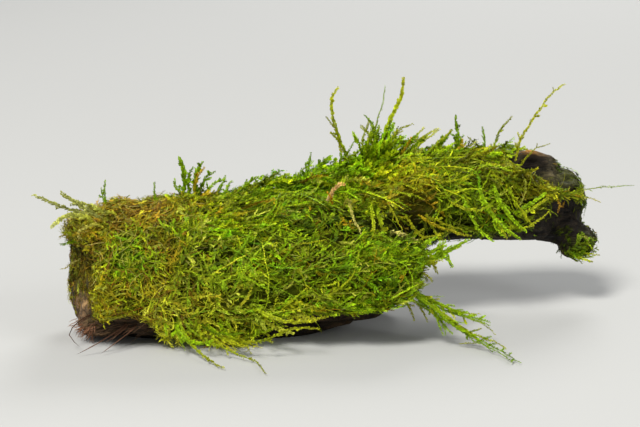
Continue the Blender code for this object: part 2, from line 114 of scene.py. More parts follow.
# How the shoots lie as seen from the front: middle x, z, radius, angle above +X in degrees, and spread
SWEEPS = [
    (-98, 42, 12, 165, 75), (-84, 55, 12, 10, 75), (-84, 38, 14, 50, 150), (-84, 22, 14, -30, 150),
    (-62, 50, 12, 70, 62), (-62, 34, 12, -20, 112), (-52, 14, 18, -32, 56), (-36, 62, 12, 35, 44),
    (-36, 50, 14, 8, 35), (-30, 36, 14, -12, 56), (-14, 54, 16, 24, 35), (-12, 36, 16, 14, 38),
    (-20, 10, 16, -14, 38), (0, 66, 12, 32, 38), (14, 52, 12, 20, 56), (16, 34, 16, 17, 30),
    (22, 22, 12, 8, 30), (14, 72, 14, 50, 31), (32, 62, 12, 35, 48), (38, 48, 9, -70, 50),
    (52, 48, 10, -10, 44), (56, 72, 12, 46, 38), (60, 60, 12, -35, 75), (76, 52, 12, -55, 38),
    (76, 68, 12, 15, 75), (92, 50, 8, 32, 28), (102, 54, 10, -8, 31), (120, 26, 12, -14, 38),
]

# Builds of strands: the radius of the stem, and the length and width of the leaves
FINE = (0.22, 1.25, 0.66)
MEDIUM = (0.26, 1.45, 0.80)
FULL = (0.31, 1.60, 0.95)
WISPY = (0.18, 0.85, 0.45)
BROAD = (0.38, 1.90, 1.10)
TRAIL = (0.25, 1.15, 0.62)

# Long moss strands, as the solid ones run: tip first and root last. After its route comes each one's build,
# then the colours of its root and tip, and how many twigs it has and their length, where it has any.
STRANDS = {
    "strand_left_long": ([(-118, -38, 66), (-110, -34, 61), (-98, -28, 55)], BROAD, FADED, FADED, 2, 3),
    "strand_left_upper": ([(-107, -34, 66), (-99, -29, 59), (-90, -24, 51)], BROAD, FADED, FADED),
    "strand_left_lower": ([(-111, -40, 53), (-104, -37, 57), (-96, -33, 55)], BROAD, YELLOW, FADED, 1, 2),
    "strand_left_top_1": ([(-92, -12, 67), (-92, -12, 57), (-91, -12, 50)], FINE, DEEP, GREEN, 2, 2),
    "strand_left_top_2": ([(-71, -8, 65), (-71, -8, 57), (-70, -8, 50)], FINE, DEEP, GREEN, 2, 2),
    "strand_crest_left_1": ([(-61, 2, 74), (-59, 2, 68), (-59, 2, 58)], BROAD, DEEP, GREEN, 4, 2.4),
    "strand_crest_left_2": ([(-51, 2, 72), (-54, 2, 66), (-54, 2, 57)], BROAD, DEEP, GREEN, 5, 2.4),
    "strand_mid_tall": ([(8, 24, 101), (5, 24, 95), (7, 24, 82), (14, 24, 66)], FULL, GREEN, YELLOW, 3, 3.5),
    "strand_mid_highest": ([(37, 28, 105), (36, 28, 96), (30, 27, 83), (27, 26, 70)], BROAD, BRIGHT, YELLOW),
    "strand_mid_thin": ([(29, 30, 101), (28, 29, 93), (25, 27, 83), (24, 25, 70)], WISPY, OLIVE, GREEN),
    "strand_mid_left": ([(18, 20, 85), (21, 22, 81), (27, 24, 70)], FINE, GREEN, YELLOW, 2, 3),
    "strand_mid_side_1": (
        [(41, 22, 85), (35, 22, 82), (31, 22, 76), (30, 22, 68)],
        FULL, GREEN, YELLOW, 1, 3,
    ),
    "strand_mid_side_2": (
        [(53, 32, 81), (47, 31, 78), (40, 29, 72), (36, 28, 66)],
        FINE, GREEN, YELLOW, 2, 3,
    ),
    "strand_mid_side_3": ([(59, 30, 81), (55, 29, 76), (51, 28, 68)], FINE, DEEP, OLIVE, 1, 3),
    "strand_right_upright": ([(61, 33, 87), (62, 33, 78), (63, 32, 66)], FULL, DEEP, GREEN, 3, 3.5),
    "strand_right_short": ([(73, 33, 82), (74, 33, 76), (74, 32, 66)], FINE, DEEP, GREEN, 2, 3),
    "strand_right_slant": ([(87, 36, 86), (81, 35, 79), (77, 34, 66)], FINE, GREEN, OLIVE, 2, 3),
    "strand_right_long": (
        [(111, 42, 100), (104, 40, 95), (96, 38, 84), (91, 35, 76), (88, 32, 66)],
        FINE, OLIVE, YELLOW, 6, 4,
    ),
    "strand_right_side": (
        [(104, 34, 74), (97, 32, 72), (91, 30, 66), (87, 28, 60)],
        WISPY, OLIVE, OLIVE, 2, 3,
    ),
    "strand_far_right": (
        [(142, 32, 55), (131, 30, 55), (119, 28, 54), (110, 28, 51)],
        FINE, YELLOW, BRIGHT, 1, 2,
    ),
    "strand_end_small": ([(128, 34, 47), (123, 32, 49), (114, 30, 50)], WISPY, YELLOW, CREAM, 1, 2),
    "strand_end_bow": (
        [(101, 9, 48), (95, 7, 44), (88, 6, 41), (82, 9, 45), (76, 14, 50)],
        FINE, GREEN, YELLOW, 1, 3,
    ),
    "strand_fork_upper": (
        [(63, -14, 41), (56, -17, 37), (49, -19, 35), (40, -22, 31)],
        FULL, GREEN, BRIGHT, 3, 5,
    ),
    "strand_fork_lower": (
        [(57, -17, 30), (54, -18, 34), (48, -20, 34), (41, -23, 32)],
        FULL, GREEN, BRIGHT, 2, 4,
    ),
    "strand_trail_right": (
        [(82, -61, 1), (75, -48, 2), (64, -41, 6), (52, -36, 12), (38, -32, 20)],
        TRAIL, GREEN, BRIGHT, 12, 9,
    ),
    "strand_trail_side": (
        [(71, -38, 10), (63, -37, 13), (53, -34, 17), (41, -30, 22)],
        TRAIL, GREEN, BRIGHT, 8, 7,
    ),
    "strand_trail_front": (
        [(-22, -75, 1), (-26, -60, 1), (-36, -53, 3), (-52, -46, 9), (-58, -40, 16)],
        TRAIL, GREEN, YELLOW, 3, 4,
    ),
    "strand_trail_left": (
        [(-39, -68, 1), (-47, -57, 2), (-54, -48, 6), (-60, -41, 14)],
        MEDIUM, GREEN, YELLOW, 2, 4,
    ),
    "strand_trail_sweep": (
        [(0, -53, 13), (-11, -53, 13), (-23, -52, 8), (-33, -49, 6), (-42, -42, 12)],
        FULL, GREEN, YELLOW, 2, 3,
    ),
    "strand_trail_short": (
        [(-2, -51, 16), (-14, -49, 15), (-25, -45, 18), (-34, -38, 22)],
        FULL, GREEN, YELLOW, 1, 3,
    ),
}

# Shorter strands that are too slight for a solid one, written in the same way
SLIGHT_STRANDS = [
    # On the branch's crest
    ([(37, 28, 81), (31, 26, 77.5), (26, 25, 72)], FINE, OLIVE, YELLOW),
    ([(59, 30, 81), (56.5, 29, 78), (53, 28, 74)], FINE, DEEP, GREEN, 1, 2.5),
    ([(69, 32, 71), (64, 32, 72.5), (58, 32, 72)], FINE, DEEP, GREEN, 1, 2),
    ([(66.5, 32, 77.5), (71.5, 32, 73), (75, 32, 70)], FINE, DEEP, OLIVE),
    # On the back branch's front
    ([(53.5, -8, 43), (49.5, -10, 42), (46, -12, 42), (41, -13, 40)], WISPY, OLIVE, YELLOW),
    ([(81, 2, 38.5), (78, 4, 41.5), (76, 6, 46.5)], FULL, GREEN, BRIGHT),
    ([(83.5, 2, 39), (81, 4, 41), (78.5, 6, 44.5)], FINE, GREEN, YELLOW),
    ([(82, 1, 38), (80.5, 2, 40.5), (77.5, 4, 44.5), (74.5, 6, 50)], FINE, GREEN, YELLOW, 1, 2),
    ([(101, 11, 54), (95, 9, 50.5), (87.5, 7, 46.5)], FULL, GREEN, YELLOW, 1, 3),
    ([(99.5, 12, 56), (93.5, 10, 52), (86, 8, 48)], FULL, GREEN, BRIGHT, 1, 3),
    # On the crest and in the fringe
    ([(43.5, 28, 79), (39.5, 27, 75.5), (36, 26, 71)], FINE, GREEN, YELLOW),
    ([(-31, -52, 12), (-35.5, -48, 10.5), (-42, -42, 14)], FINE, GREEN, YELLOW),
    ([(-32, -53, 6), (-37, -51, 7.5), (-41, -48, 8), (-47, -42, 12)], FULL, GREEN, YELLOW),
    # At the left end
    ([(-99, -34, 46), (-101, -35, 48.5), (-98, -36.5, 52), (-93, -36, 53), (-88, -32, 50)],
     FINE, YELLOW, CREAM),
    ([(-108, -30, 48.5), (-103, -30, 47), (-98, -28, 46)], FULL, GREEN, OLIVE, 1, 2),
    ([(-109, -30, 43), (-103, -30, 44), (-98, -28, 43)], FULL, GREEN, GREEN, 1, 2),
    ([(-110, -25, 31), (-108, -24, 31.5), (-103, -22, 34)], FINE, CREAM, CREAM),
    # On the crest
    ([(-4, 24, 72), (-5, 24, 66), (-6, 22, 60)], FINE, DEEP, GREEN, 1, 2),
    ([(58.5, 32, 79.5), (62, 32, 76), (63, 32, 70)], FINE, DEEP, GREEN),
    ([(64.5, 32, 78.5), (63, 32, 75), (63, 32, 70)], FINE, DEEP, GREEN),
    ([(2.5, 24, 88), (6.5, 24, 83), (9, 24, 76)], FINE, OLIVE, OLIVE),
    ([(5, 24, 81), (8, 24, 77.5), (11, 24, 72)], FINE, GREEN, OLIVE),
    ([(20, 26, 88), (23, 26, 84), (25, 26, 76)], FULL, DEEP, GREEN, 2, 2.5),
    ([(34, 26, 76), (30, 25, 73), (26, 24, 68)], FULL, DEEP, GREEN, 1, 2.5),
    ([(22, 26, 78), (21, 25, 73), (20, 24, 68)], FULL, DEEP, GREEN, 2, 2.5),
    ([(44, 26, 80), (39, 25, 76), (34, 24, 68)], FULL, DEEP, GREEN, 2, 3),
    # Tufts at the left of the trunk's top
    ([(-55, 4, 69), (-57, 3, 65), (-57, 2, 57)], FULL, DEEP, GREEN, 3, 2.4),
    ([(-50, 0, 70), (-53, 1, 66), (-55, 1, 58)], MEDIUM, OLIVE, GOLD, 2, 2),
    ([(-46, 5, 67), (-50, 4, 64), (-53, 3, 57)], MEDIUM, DEEP, GREEN, 4, 3.5),
    ([(-41, 3, 64), (-45, 3, 63), (-51, 3, 57)], FINE, GREEN, BRIGHT, 4, 3.5),
    ([(-63, 0, 65), (-63, 1, 62), (-60, 1, 57)], FINE, GREEN, BRIGHT, 3, 2.5),
    ([(-94, -10, 63), (-93, -11, 59), (-92, -12, 54)], FINE, DEEP, GREEN, 3, 2),
    # Over the hollow between the branches
    ([(17.5, -27, 47), (14, -21, 53), (12, -14, 59)], FINE, OLIVE, CREAM, 1, 3),
    ([(24.5, -33, 42), (22.5, -28, 46.5), (22.5, -19, 53), (21, -14, 57)], MEDIUM, GREEN, YELLOW, 2, 3),
    ([(29, -33, 42), (26, -22, 49), (24, -14, 56)], FULL, GREEN, OLIVE, 2, 3),
    ([(35, -20, 46), (33, -15, 50), (28, -9, 57)], WISPY, OLIVE, YELLOW, 2, 3),
    ([(41, -24, 43), (36, -25, 45.5), (30, -25, 47)], FULL, CREAM, CREAM),
    ([(47, -12, 41), (42, -11, 43), (37, -9, 50)], FINE, OLIVE, YELLOW, 2, 3),
    ([(53, -7, 39), (50, -5, 42), (46, -3, 50)], FINE, GREEN, YELLOW, 2, 3),
    ([(23, -24, 46), (18, -24, 48), (13, -21, 49), (8, -17, 53)], WISPY, OLIVE, GREEN, 2, 3),
    # In the crest's tuft
    ([(33, 24, 85), (31, 24, 80), (28, 24, 70)], FULL, DEEP, GREEN, 5, 3.5),
    ([(37, 24, 79), (33, 24, 76), (29, 24, 69)], FULL, GREEN, BRIGHT, 4, 3.5),
    ([(26, 24, 84), (25, 24, 79), (24, 24, 69)], FULL, DEEP, GREEN, 5, 3.5),
    ([(48, 28, 79), (44, 27, 76), (39, 26, 70)], FULL, GREEN, BRIGHT, 4, 3.5),
    ([(57, 28, 78), (53, 28, 75), (49, 27, 70)], FULL, DEEP, GREEN, 4, 3.5),
    # Over the back branch's front
    ([(88, 3, 37), (80, 2, 43), (73, 3, 52), (69, 5, 60)], FULL, GREEN, BRIGHT, 2, 3),
    ([(91, 6, 40), (85, 5, 45), (79, 5, 53), (76, 7, 60)], FULL, GREEN, BRIGHT, 2, 3),
    ([(94, 8, 42), (90, 7, 47), (85, 8, 54), (82, 11, 60)], FULL, GREEN, YELLOW, 2, 3),
    ([(76, 0, 37), (70, -1, 42), (65, 0, 50), (62, 2, 57)], FULL, GREEN, BRIGHT, 2, 3),
    ([(66, -3, 40), (58, -5, 42.5), (49, -6, 46), (43, -6, 50)], FINE, GOLD, YELLOW, 1, 3),
    ([(62, -4, 43), (54, -6, 46), (46, -7, 50)], FINE, OLIVE, YELLOW, 1, 3),
    ([(57, -3, 55), (63, -2, 52), (70, 0, 51), (76, 3, 54)], FINE, GREEN, YELLOW, 1, 3),
    # Dead bits at the top of the fork
    ([(3, -15, 62), (4.2, -14, 60), (5, -12, 56)], FULL, (0.70, 0.36, 0.02), (0.70, 0.36, 0.02)),
    ([(10.7, -13, 65), (7.5, -14, 65), (4.5, -12, 60)], FULL, (0.66, 0.46, 0.20), (0.70, 0.40, 0.10)),
    # Ferny ones along the trunk's top
    ([(-3.5, 16, 69.5), (-6, 15, 66.5), (-7.5, 14, 62)], FULL, DEEP, GREEN, 5, 3),
    ([(5, 16, 72), (0, 15, 68), (-4, 14, 62.5)], FULL, DEEP, GREEN, 6, 3.2),
    ([(6, 18, 69.5), (8, 17, 67), (10, 16, 63)], FULL, DEEP, GREEN, 5, 3),
    ([(11, 18, 66.5), (9, 17, 66), (7, 16, 63)], FINE, GREEN, BRIGHT, 3, 2.5),
    ([(-24, 4, 65.5), (-29.5, 3, 64), (-34, 2, 59.5)], MEDIUM, GREEN, BRIGHT, 6, 2.6),
    ([(-20, 4, 64.5), (-24, 3, 63.5), (-27.5, 2, 59.5)], FINE, GREEN, BRIGHT, 5, 2.6),
    ([(-15.5, 4, 63), (-20, 3, 64), (-24, 2, 60)], FINE, GREEN, BRIGHT, 4, 2.6),
    ([(-41, 2, 66), (-42, 1, 63.5), (-44, 0, 59)], FINE, DEEP, GREEN, 3, 2.4),
    ([(-38, 2, 63.5), (-39.5, 1, 62), (-41, 0, 58.5)], FINE, GREEN, BRIGHT, 2, 2.2),
    ([(-11.5, 6, 64), (-15, 5, 64), (-18.5, 4, 60)], FINE, GREEN, BRIGHT, 4, 2.4),
    # Pale ones past the left end
    ([(-108, -24, 62.5), (-103.5, -23.5, 60), (-97, -23, 54.5), (-92, -22, 51)], FULL, FADED, FADED, 1, 3),
    ([(-104, -30, 60), (-98.5, -29, 60.5), (-92, -27.5, 57), (-86, -26, 55)], FULL, YELLOW, FADED, 2, 3),
    # Dead hooks on the far shoulder
    ([(106.5, 20, 45), (107, 19, 49), (105, 20, 54)], WISPY, GOLD, (0.36, 0.19, 0.02), 1, 1.5),
    ([(109, 24, 46.5), (110, 25, 49), (111, 27, 53)], WISPY, GOLD, (0.36, 0.19, 0.02)),
    # In the yellow fringe
    ([(-56, -50, 3), (-58.5, -46.5, 7.7), (-61, -43, 13)], FINE, GREEN, BRIGHT, 2, 2.5),
    ([(-44, -54, 8), (-51.6, -50, 5.8), (-57, -47, 7.7), (-60, -43, 12)], FULL, GREEN, BRIGHT, 3, 3),
    ([(-31, -55, 12), (-38, -51, 10), (-44, -47, 9.6), (-49, -43, 12)], FULL, DEEP, BRIGHT, 2, 2.5),
    ([(-31.6, -54, 5.3), (-34, -48.5, 8), (-39, -43, 13)], FINE, GREEN, YELLOW, 2, 3),
    ([(-22.7, -50, 12), (-24.4, -46.5, 14), (-28, -43, 17.4)], FULL, GREEN, PALE, 5, 3),
    ([(-48, -52, 7), (-50, -47.5, 10.6), (-52, -43, 14)], FULL, GREEN, YELLOW, 1, 2),
    ([(-40, -54, 5.7), (-44, -48.5, 8), (-47, -43, 12)], FINE, GREEN, YELLOW, 2, 3),
    ([(-11, -52, 11), (-16, -47.5, 11), (-22, -43, 13)], FULL, YELLOW, PALE, 3, 3),
    # Along the bundle that trails to the right
    ([(58.3, -34.9, 1), (61.8, -38.3, 2.5), (65.5, -37.6, 4.5)], TRAIL, GREEN, YELLOW),
    ([(71.9, -46.6, 1.2), (69, -41.4, 2.6), (64.7, -37.6, 4.5), (59.7, -36, 7.5)],
     TRAIL, DEEP, GREEN, 1, 6),
    ([(78.1, -58.1, 1), (73.7, -49.1, 2), (68.3, -44.3, 3.5), (62, -39.7, 6)],
     TRAIL, GREEN, BRIGHT, 1, 6),
    ([(77.1, -48.2, 3), (73.1, -41.7, 4), (67, -39.5, 5.5), (60.6, -36.2, 8)],
     TRAIL, GREEN, YELLOW, 2, 6),
    ([(73.6, -36.6, 5.5), (70.5, -33.3, 8), (65, -33, 11), (57.4, -32.8, 14)], TRAIL, GREEN, YELLOW, 2, 7),
    ([(72, -30.9, 9.5), (65.9, -31.7, 11.5), (58.9, -34, 13.5), (52.2, -33.4, 15.5)],
     TRAIL, DEEP, GREEN, 2, 6),
    ([(67.7, -30.8, 13), (61.6, -32.8, 14), (54.7, -33.6, 16), (48.9, -31.4, 18)],
     TRAIL, GREEN, YELLOW, 2, 6),
    ([(55.5, -36.8, 6), (53.2, -33.3, 8), (49.9, -31.7, 11.5), (45.7, -30.2, 15)],
     TRAIL, GREEN, BRIGHT, 2, 6),
    ([(53, -36.6, 5.5), (51.9, -33.7, 9), (49, -32.3, 13)], TRAIL, DEEP, GREEN, 1, 5),
    ([(40.6, -24.4, 8), (38.9, -22.7, 11.5), (37.2, -22.5, 15)], TRAIL, OLIVE, YELLOW, 1, 4),
    ([(50.7, -30.5, 19.5), (46.5, -30.3, 19), (42.3, -29.2, 20)], TRAIL, GREEN, YELLOW, 1, 4),
    ([(56.9, -32.5, 17), (52.2, -32.7, 17.5), (47.2, -31.9, 19)], TRAIL, GREEN, BRIGHT, 2, 4),
    ([(45.8, -29.2, 9), (44.2, -27.6, 12.5), (41.3, -26, 16)], TRAIL, OLIVE, YELLOW, 1, 4),
    # A spray from the front branch's tip
    ([(64.3, -14, 41.5), (58.2, -16.3, 39), (52.9, -18.7, 37.4), (46.8, -21, 34)],
     MEDIUM, GREEN, BRIGHT, 2, 5),
    ([(56.7, -15, 29.4), (54.8, -17, 34.3), (51.6, -19, 37.5), (46.8, -21, 34.5)],
     MEDIUM, GREEN, BRIGHT, 1, 4),
    ([(60.6, -13, 37.7), (55.7, -15.3, 37), (50.4, -17.7, 34.9), (46.1, -20, 32)],
     MEDIUM, GREEN, YELLOW, 2, 5),
    ([(50.3, -15, 26.3), (49.2, -18, 30.6), (46.8, -21, 33.2)], MEDIUM, OLIVE, YELLOW, 2, 4),
    ([(54.2, -12, 40.6), (51.4, -15.5, 38.8), (46.9, -19, 36.2)], MEDIUM, GREEN, BRIGHT, 2, 4),
    ([(48.5, -17, 23.2), (46.6, -19.5, 26.1), (44.3, -22, 28.1)], FINE, OLIVE, YELLOW, 1, 3),
    # Slender ones that slant off the crest
    ([(53.2, 28, 81.8), (48.3, 26.7, 78), (42.4, 25.3, 73.2), (37.5, 24, 68.5)],
     TRAIL, GREEN, YELLOW, 1, 3),
    ([(55.1, 28, 74.1), (50.6, 26, 70.8), (45.1, 24, 67.1)], TRAIL, GREEN, BRIGHT, 1, 3),
    ([(59.1, 29, 80.7), (53.7, 27, 76.6), (48.3, 25, 71.9)], TRAIL, GREEN, YELLOW, 1, 3.5),
    ([(25.5, 27, 81.1), (20.5, 25.5, 75.5), (14.3, 24, 68.5)], TRAIL, GREEN, BRIGHT, 1, 3),
    ([(17.9, 27, 82.9), (23.2, 25.5, 79.6), (28.5, 24, 75.3)], TRAIL, OLIVE, PALE, 1, 3),
    ([(21.8, 26, 86.7), (20.5, 24.5, 81.5), (18.7, 23, 76.4)], TRAIL, GREEN, OLIVE, 1, 3),
    ([(36.7, 28, 75), (33.1, 26.5, 71.6), (29.5, 25, 68.3)], TRAIL, GREEN, PALE),
    ([(31.3, 27, 74.7), (26.8, 25, 70.6), (21.4, 23, 65)], MEDIUM, GREEN, BRIGHT, 1, 3),
    ([(46.6, 29, 82.5), (42, 27, 77.5), (38.4, 25, 71.9)], TRAIL, GREEN, YELLOW),
    ([(57.5, 29, 72.1), (52, 27.5, 69.6), (46.6, 26, 66.3)], TRAIL, GREEN, YELLOW, 1, 3),
    ([(65.7, 30, 71.4), (61.1, 28.5, 69), (56.5, 27, 66.5)], TRAIL, GREEN, BRIGHT, 1, 3),
    ([(15.2, 24, 76.7), (12.5, 22.5, 72.4), (8.9, 21, 68.2)], TRAIL, DEEP, GREEN, 1, 3),
    ([(41.2, 28, 75.9), (36.7, 26, 72.2), (32.2, 24, 67.6)], MEDIUM, GREEN, YELLOW, 1, 3),
    ([(49.7, 28, 80), (43.8, 26.7, 77.1), (37.5, 25.3, 74.1), (33.9, 24, 71.2)], TRAIL, GREEN, PALE, 1, 3),
    # In the fringe
    ([(-68, -46, 10.5), (-67.7, -44, 13.4), (-66.6, -42, 16.3)], FINE, GREEN, YELLOW, 1, 2),
    ([(-63.4, -47, 9), (-64, -44.5, 11.4), (-64.5, -42, 15.4)], FINE, GREEN, BRIGHT, 1, 2),
    ([(-26, -56, 8), (-35, -50, 7), (-41, -44, 10)], FULL, GREEN, YELLOW, 2, 3),
    ([(3, -46, 16.2), (-4, -43, 14.4), (-10, -40, 16.6)], FINE, PALE, YELLOW, 2, 2.5),
    # Round the front branch's tip
    ([(50, -20, 44), (46, -21, 42), (41, -22, 39)], FULL, GREEN, BRIGHT, 2, 2.5),
    ([(54, -20, 40), (49, -21, 38.5), (42, -23, 35)], FULL, GREEN, BRIGHT, 3, 3),
    ([(52, -22, 34), (47, -23, 34), (41, -24, 33)], FINE, GREEN, YELLOW, 2, 2.5),
    ([(44, -19, 47), (41, -20, 45), (37, -21, 41)], FINE, GREEN, YELLOW, 2, 2.5),
    # On the back branch's foot
    ([(127, 26, 24), (122, 26, 24.5), (116, 28, 25)], FINE, GREEN, YELLOW, 1, 2.5),
    ([(124, 26, 21), (119, 25, 22.5), (114, 28, 24)], FINE, GREEN, YELLOW, 1, 2.5),
]

# Splinters of bark, as the solid ones run
SPLINTERS = {
    "splinter_long": [(-101, -50, 1), (-92, -46, 5), (-82, -38, 10)],
    "splinter_hooked": [(-100, -43, 2), (-105, -40, 7), (-100, -34, 12), (-92, -30, 14)],
    "splinter_short": [(-91, -49, 1), (-86, -45, 4), (-78, -38, 9)],
}

rng = np.random.default_rng(20240817)


# Small tools

def smooth_step(low, high, value):
    share = np.clip((value - low) / (high - low), 0.0, 1.0)
    return share * share * (3.0 - 2.0 * share)


def unit(vectors):
    return vectors / np.maximum(np.linalg.norm(vectors, axis=-1, keepdims=True), 1e-9)


def varied(span, count):
    return rng.uniform(span[0], span[1], count)


# Whole numbers that mix a lattice cell's place and the seed into one value that looks random
PLACE_MIX = np.array((73856093, 19349663, 83492791))
SEED_MIX = 97531
LAST_MIX = 1274126177


def lattice_noise(points, size, seed):
    """Smooth noise from -1 to 1, with features about size wide; size may differ along x, y and z."""
    scaled = points / np.asarray(size, float)
    cell = np.floor(scaled).astype(np.int64)
    share = scaled - cell
    share = share * share * share * (share * (share * 6.0 - 15.0) + 10.0)
    total = np.zeros(scaled.shape[:-1])
    for corner in product((0, 1), repeat=3):
        mixed = (cell + np.array(corner)) * PLACE_MIX
        key = mixed[..., 0] ^ mixed[..., 1] ^ mixed[..., 2] ^ seed * SEED_MIX
        key = (key ^ (key >> 13)) * LAST_MIX & 0x7FFFFFFF
        value = ((key ^ (key >> 15)) & 0xFFFF) / 32767.5 - 1.0
        weight = np.prod(np.where(np.array(corner) == 1, share, 1.0 - share), axis=-1)
        total += value * weight
    return total


def along_log(points):
    """The points turned so that the log runs along their first axis."""
    c, s = math.cos(LOG_HEADING), math.sin(LOG_HEADING)
    turned = points.copy()
    turned[..., 0] = points[..., 0] * c + points[..., 1] * s
    turned[..., 1] = points[..., 1] * c - points[..., 0] * s
    return turned


def smooth_route(points, steps):
    """Points on a Catmull-Rom curve through the given points."""
    padded = [np.array(p, float) for p in (points[0], *points, points[-1])]
    route = []
    for a, b, c, d in zip(padded, padded[1:], padded[2:], padded[3:]):
        for step in range(steps):
            t = step / steps
            bend = (2 * a - 5 * b + 4 * c - d) * t**2 + (3 * b - a - 3 * c + d) * t**3
            route.append(0.5 * (2 * b + (c - a) * t + bend))
    return np.array([*route, padded[-1]])


def evenly(route, count):
    """The route again with count points at even distances."""
    lengths = np.concatenate([[0.0], np.cumsum(np.linalg.norm(np.diff(route, axis=0), axis=1))])
    wanted = np.linspace(0.0, lengths[-1], count)
    return np.stack([np.interp(wanted, lengths, route[:, k]) for k in range(3)], axis=1)


def nearness(points, x, y, z, radius, power=2):
    """1 at a place, fading to 0 past the radius, and the more sharply the higher the power."""
    gap = np.linalg.norm(points - np.array((x, y, z), float), axis=-1)
    return np.exp(-((gap / radius) ** power))


def patched(points, base, patches, power=2):
    """The base colours with patches of others laid over them."""
    colours = np.broadcast_to(base, (*points.shape[:-1], 3)).copy()
    weight = np.ones(points.shape[:-1])
    for x, y, z, radius, colour, strength in patches:
        share = strength * nearness(points, x, y, z, radius, power)
        colours += share[..., None] * np.array(colour)
        weight += share
    return colours / weight[..., None]


# Meshes in and out

def arrays_of(mesh):
    """Corner points in layout millimetres, and triangles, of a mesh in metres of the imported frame."""
    points = np.empty(len(mesh.vertices) * 3, np.float32)
    mesh.vertices.foreach_get("co", points)
    mesh.calc_loop_triangles()
    faces = np.empty(len(mesh.loop_triangles) * 3, np.int32)
    mesh.loop_triangles.foreach_get("vertices", faces)
    return points.reshape(-1, 3).astype(float) / MM + LAYOUT_MIDDLE, faces.reshape(-1, 3)


def normals_of(points, faces):
    """Unit corner normals."""
    a, b, c = (points[faces[:, k]] for k in range(3))
    face_normals = np.cross(b - a, c - a)
    normals = np.zeros_like(points)
    for k in range(3):
        np.add.at(normals, faces[:, k], face_normals)
    return unit(normals)


def joined(parts):
    """Several (points, faces) as one."""
    points, faces, first = [], [], 0
    for part_points, part_faces in parts:
        points.append(part_points)
        faces.append(part_faces + first)
        first += len(part_points)
    return np.concatenate(points), np.concatenate(faces)


def to_mesh(name, points, faces, corner_uv=None, colours=None, smooth=None):
    """A mesh in metres from points in layout millimetres and triangles."""
    mesh = bpy.data.meshes.new(name)
    mesh.vertices.add(len(points))
    mesh.vertices.foreach_set("co", ((points - LAYOUT_MIDDLE) * MM).astype(np.float32).ravel())
    mesh.loops.add(faces.size)
    mesh.loops.foreach_set("vertex_index", faces.astype(np.int32).ravel())
    mesh.polygons.add(len(faces))
    mesh.polygons.foreach_set("loop_start", np.arange(0, faces.size, 3, dtype=np.int32))
    if corner_uv is not None:
        layer = mesh.uv_layers.new(name="OFBake")
        layer.data.foreach_set("uv", corner_uv.astype(np.float32).ravel())
    if colours is not None:
        tint = mesh.color_attributes.new("Tint", "FLOAT_COLOR", "POINT")
        full = np.concatenate([colours, np.ones((len(colours), 1))], axis=1)
        tint.data.foreach_set("color", full.astype(np.float32).ravel())
    mesh.update(calc_edges=True)
    flags = np.ones(len(faces), bool) if smooth is None else smooth
    mesh.polygons.foreach_set("use_smooth", flags)
    mesh.update()
    return mesh


def place(mesh, material, replaced=()):
    """Puts a finished piece in the scene, riding on the part's one body."""
    mesh.materials.append(material)
    piece = bpy.data.objects.new(mesh.name, mesh)
    bpy.context.scene.collection.objects.link(piece)
    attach(piece, "root")
    if replaced:
        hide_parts(*replaced)
    print("PIECE", mesh.name, len(mesh.polygons))
    return piece


def reshaped(points, faces, add_modifiers):
    """The surface as add_modifiers(carrier) leaves it, in points and triangles again."""
    mesh = to_mesh("carrier", points, faces)
    carrier = bpy.data.objects.new("carrier", mesh)
    bpy.context.scene.collection.objects.link(carrier)
    add_modifiers(carrier)
    bpy.context.view_layer.update()
    result = bpy.data.meshes.new_from_object(carrier.evaluated_get(bpy.context.evaluated_depsgraph_get()))
    arrays = arrays_of(result)
    bpy.data.objects.remove(carrier)
    bpy.data.meshes.remove(mesh)
    bpy.data.meshes.remove(result)
    return arrays


def voxel_skin(points, faces, voxel, rounds):
    """One closed skin round overlapping bodies, smoothed over some rounds."""
    def add_modifiers(carrier):
        remesh = carrier.modifiers.new("Remesh", "REMESH")
        remesh.mode = "VOXEL"
        remesh.voxel_size = voxel * MM
        smooth = carrier.modifiers.new("Smooth", "SMOOTH")
        smooth.factor = 0.5
        smooth.iterations = rounds

    return reshaped(points, faces, add_modifiers)


def fewer_where_hidden(points, faces, hidden, share):
    """The surface with only that share of its triangles, taken away first where hidden is true."""
    def add_modifiers(carrier):
        group = carrier.vertex_groups.new(name="hidden")
        group.add(np.flatnonzero(hidden).tolist(), 1.0, "REPLACE")
        decimate = carrier.modifiers.new("Decimate", "DECIMATE")
        decimate.ratio = share
        decimate.vertex_group = "hidden"

    return reshaped(points, faces, add_modifiers)


class Ground:
    """A surface that knows the place on it nearest to any point."""

    def __init__(self, points, faces):
        self.tree = BVHTree.FromPolygons(points.tolist(), faces.tolist())
        corner_normals = normals_of(points, faces)
        self.normals = unit(corner_normals[faces].sum(axis=1))

    def nearest(self, points):
        """The nearest place on the surface to each point, and its normal."""
        places = np.empty_like(points)
        index = np.empty(len(points), int)
        for i, point in enumerate(points.tolist()):
            spot, _, face, _ = self.tree.find_nearest(point)
            places[i] = spot
            index[i] = face
        return places, self.normals[index]

    def distance(self, points):
        return np.array([self.tree.find_nearest(point)[3] for point in points.tolist()])


# Frame surfaces

HALF_GAP_FILL = 0.4  # how far each solid is swollen so that the gaps between neighbours close
GUIDE_VOXEL = 1.7
BARE_HEIGHT, MOSSY_HEIGHT = 1.0, 3.2  # how far the guide stands off the wood where it is bare, and mossy


def swollen_nodes(names):
    parts = []
    for name in names:
        points, faces = arrays_of(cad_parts[name].data)
        parts.append((points + normals_of(points, faces) * HALF_GAP_FILL, faces))
    return parts


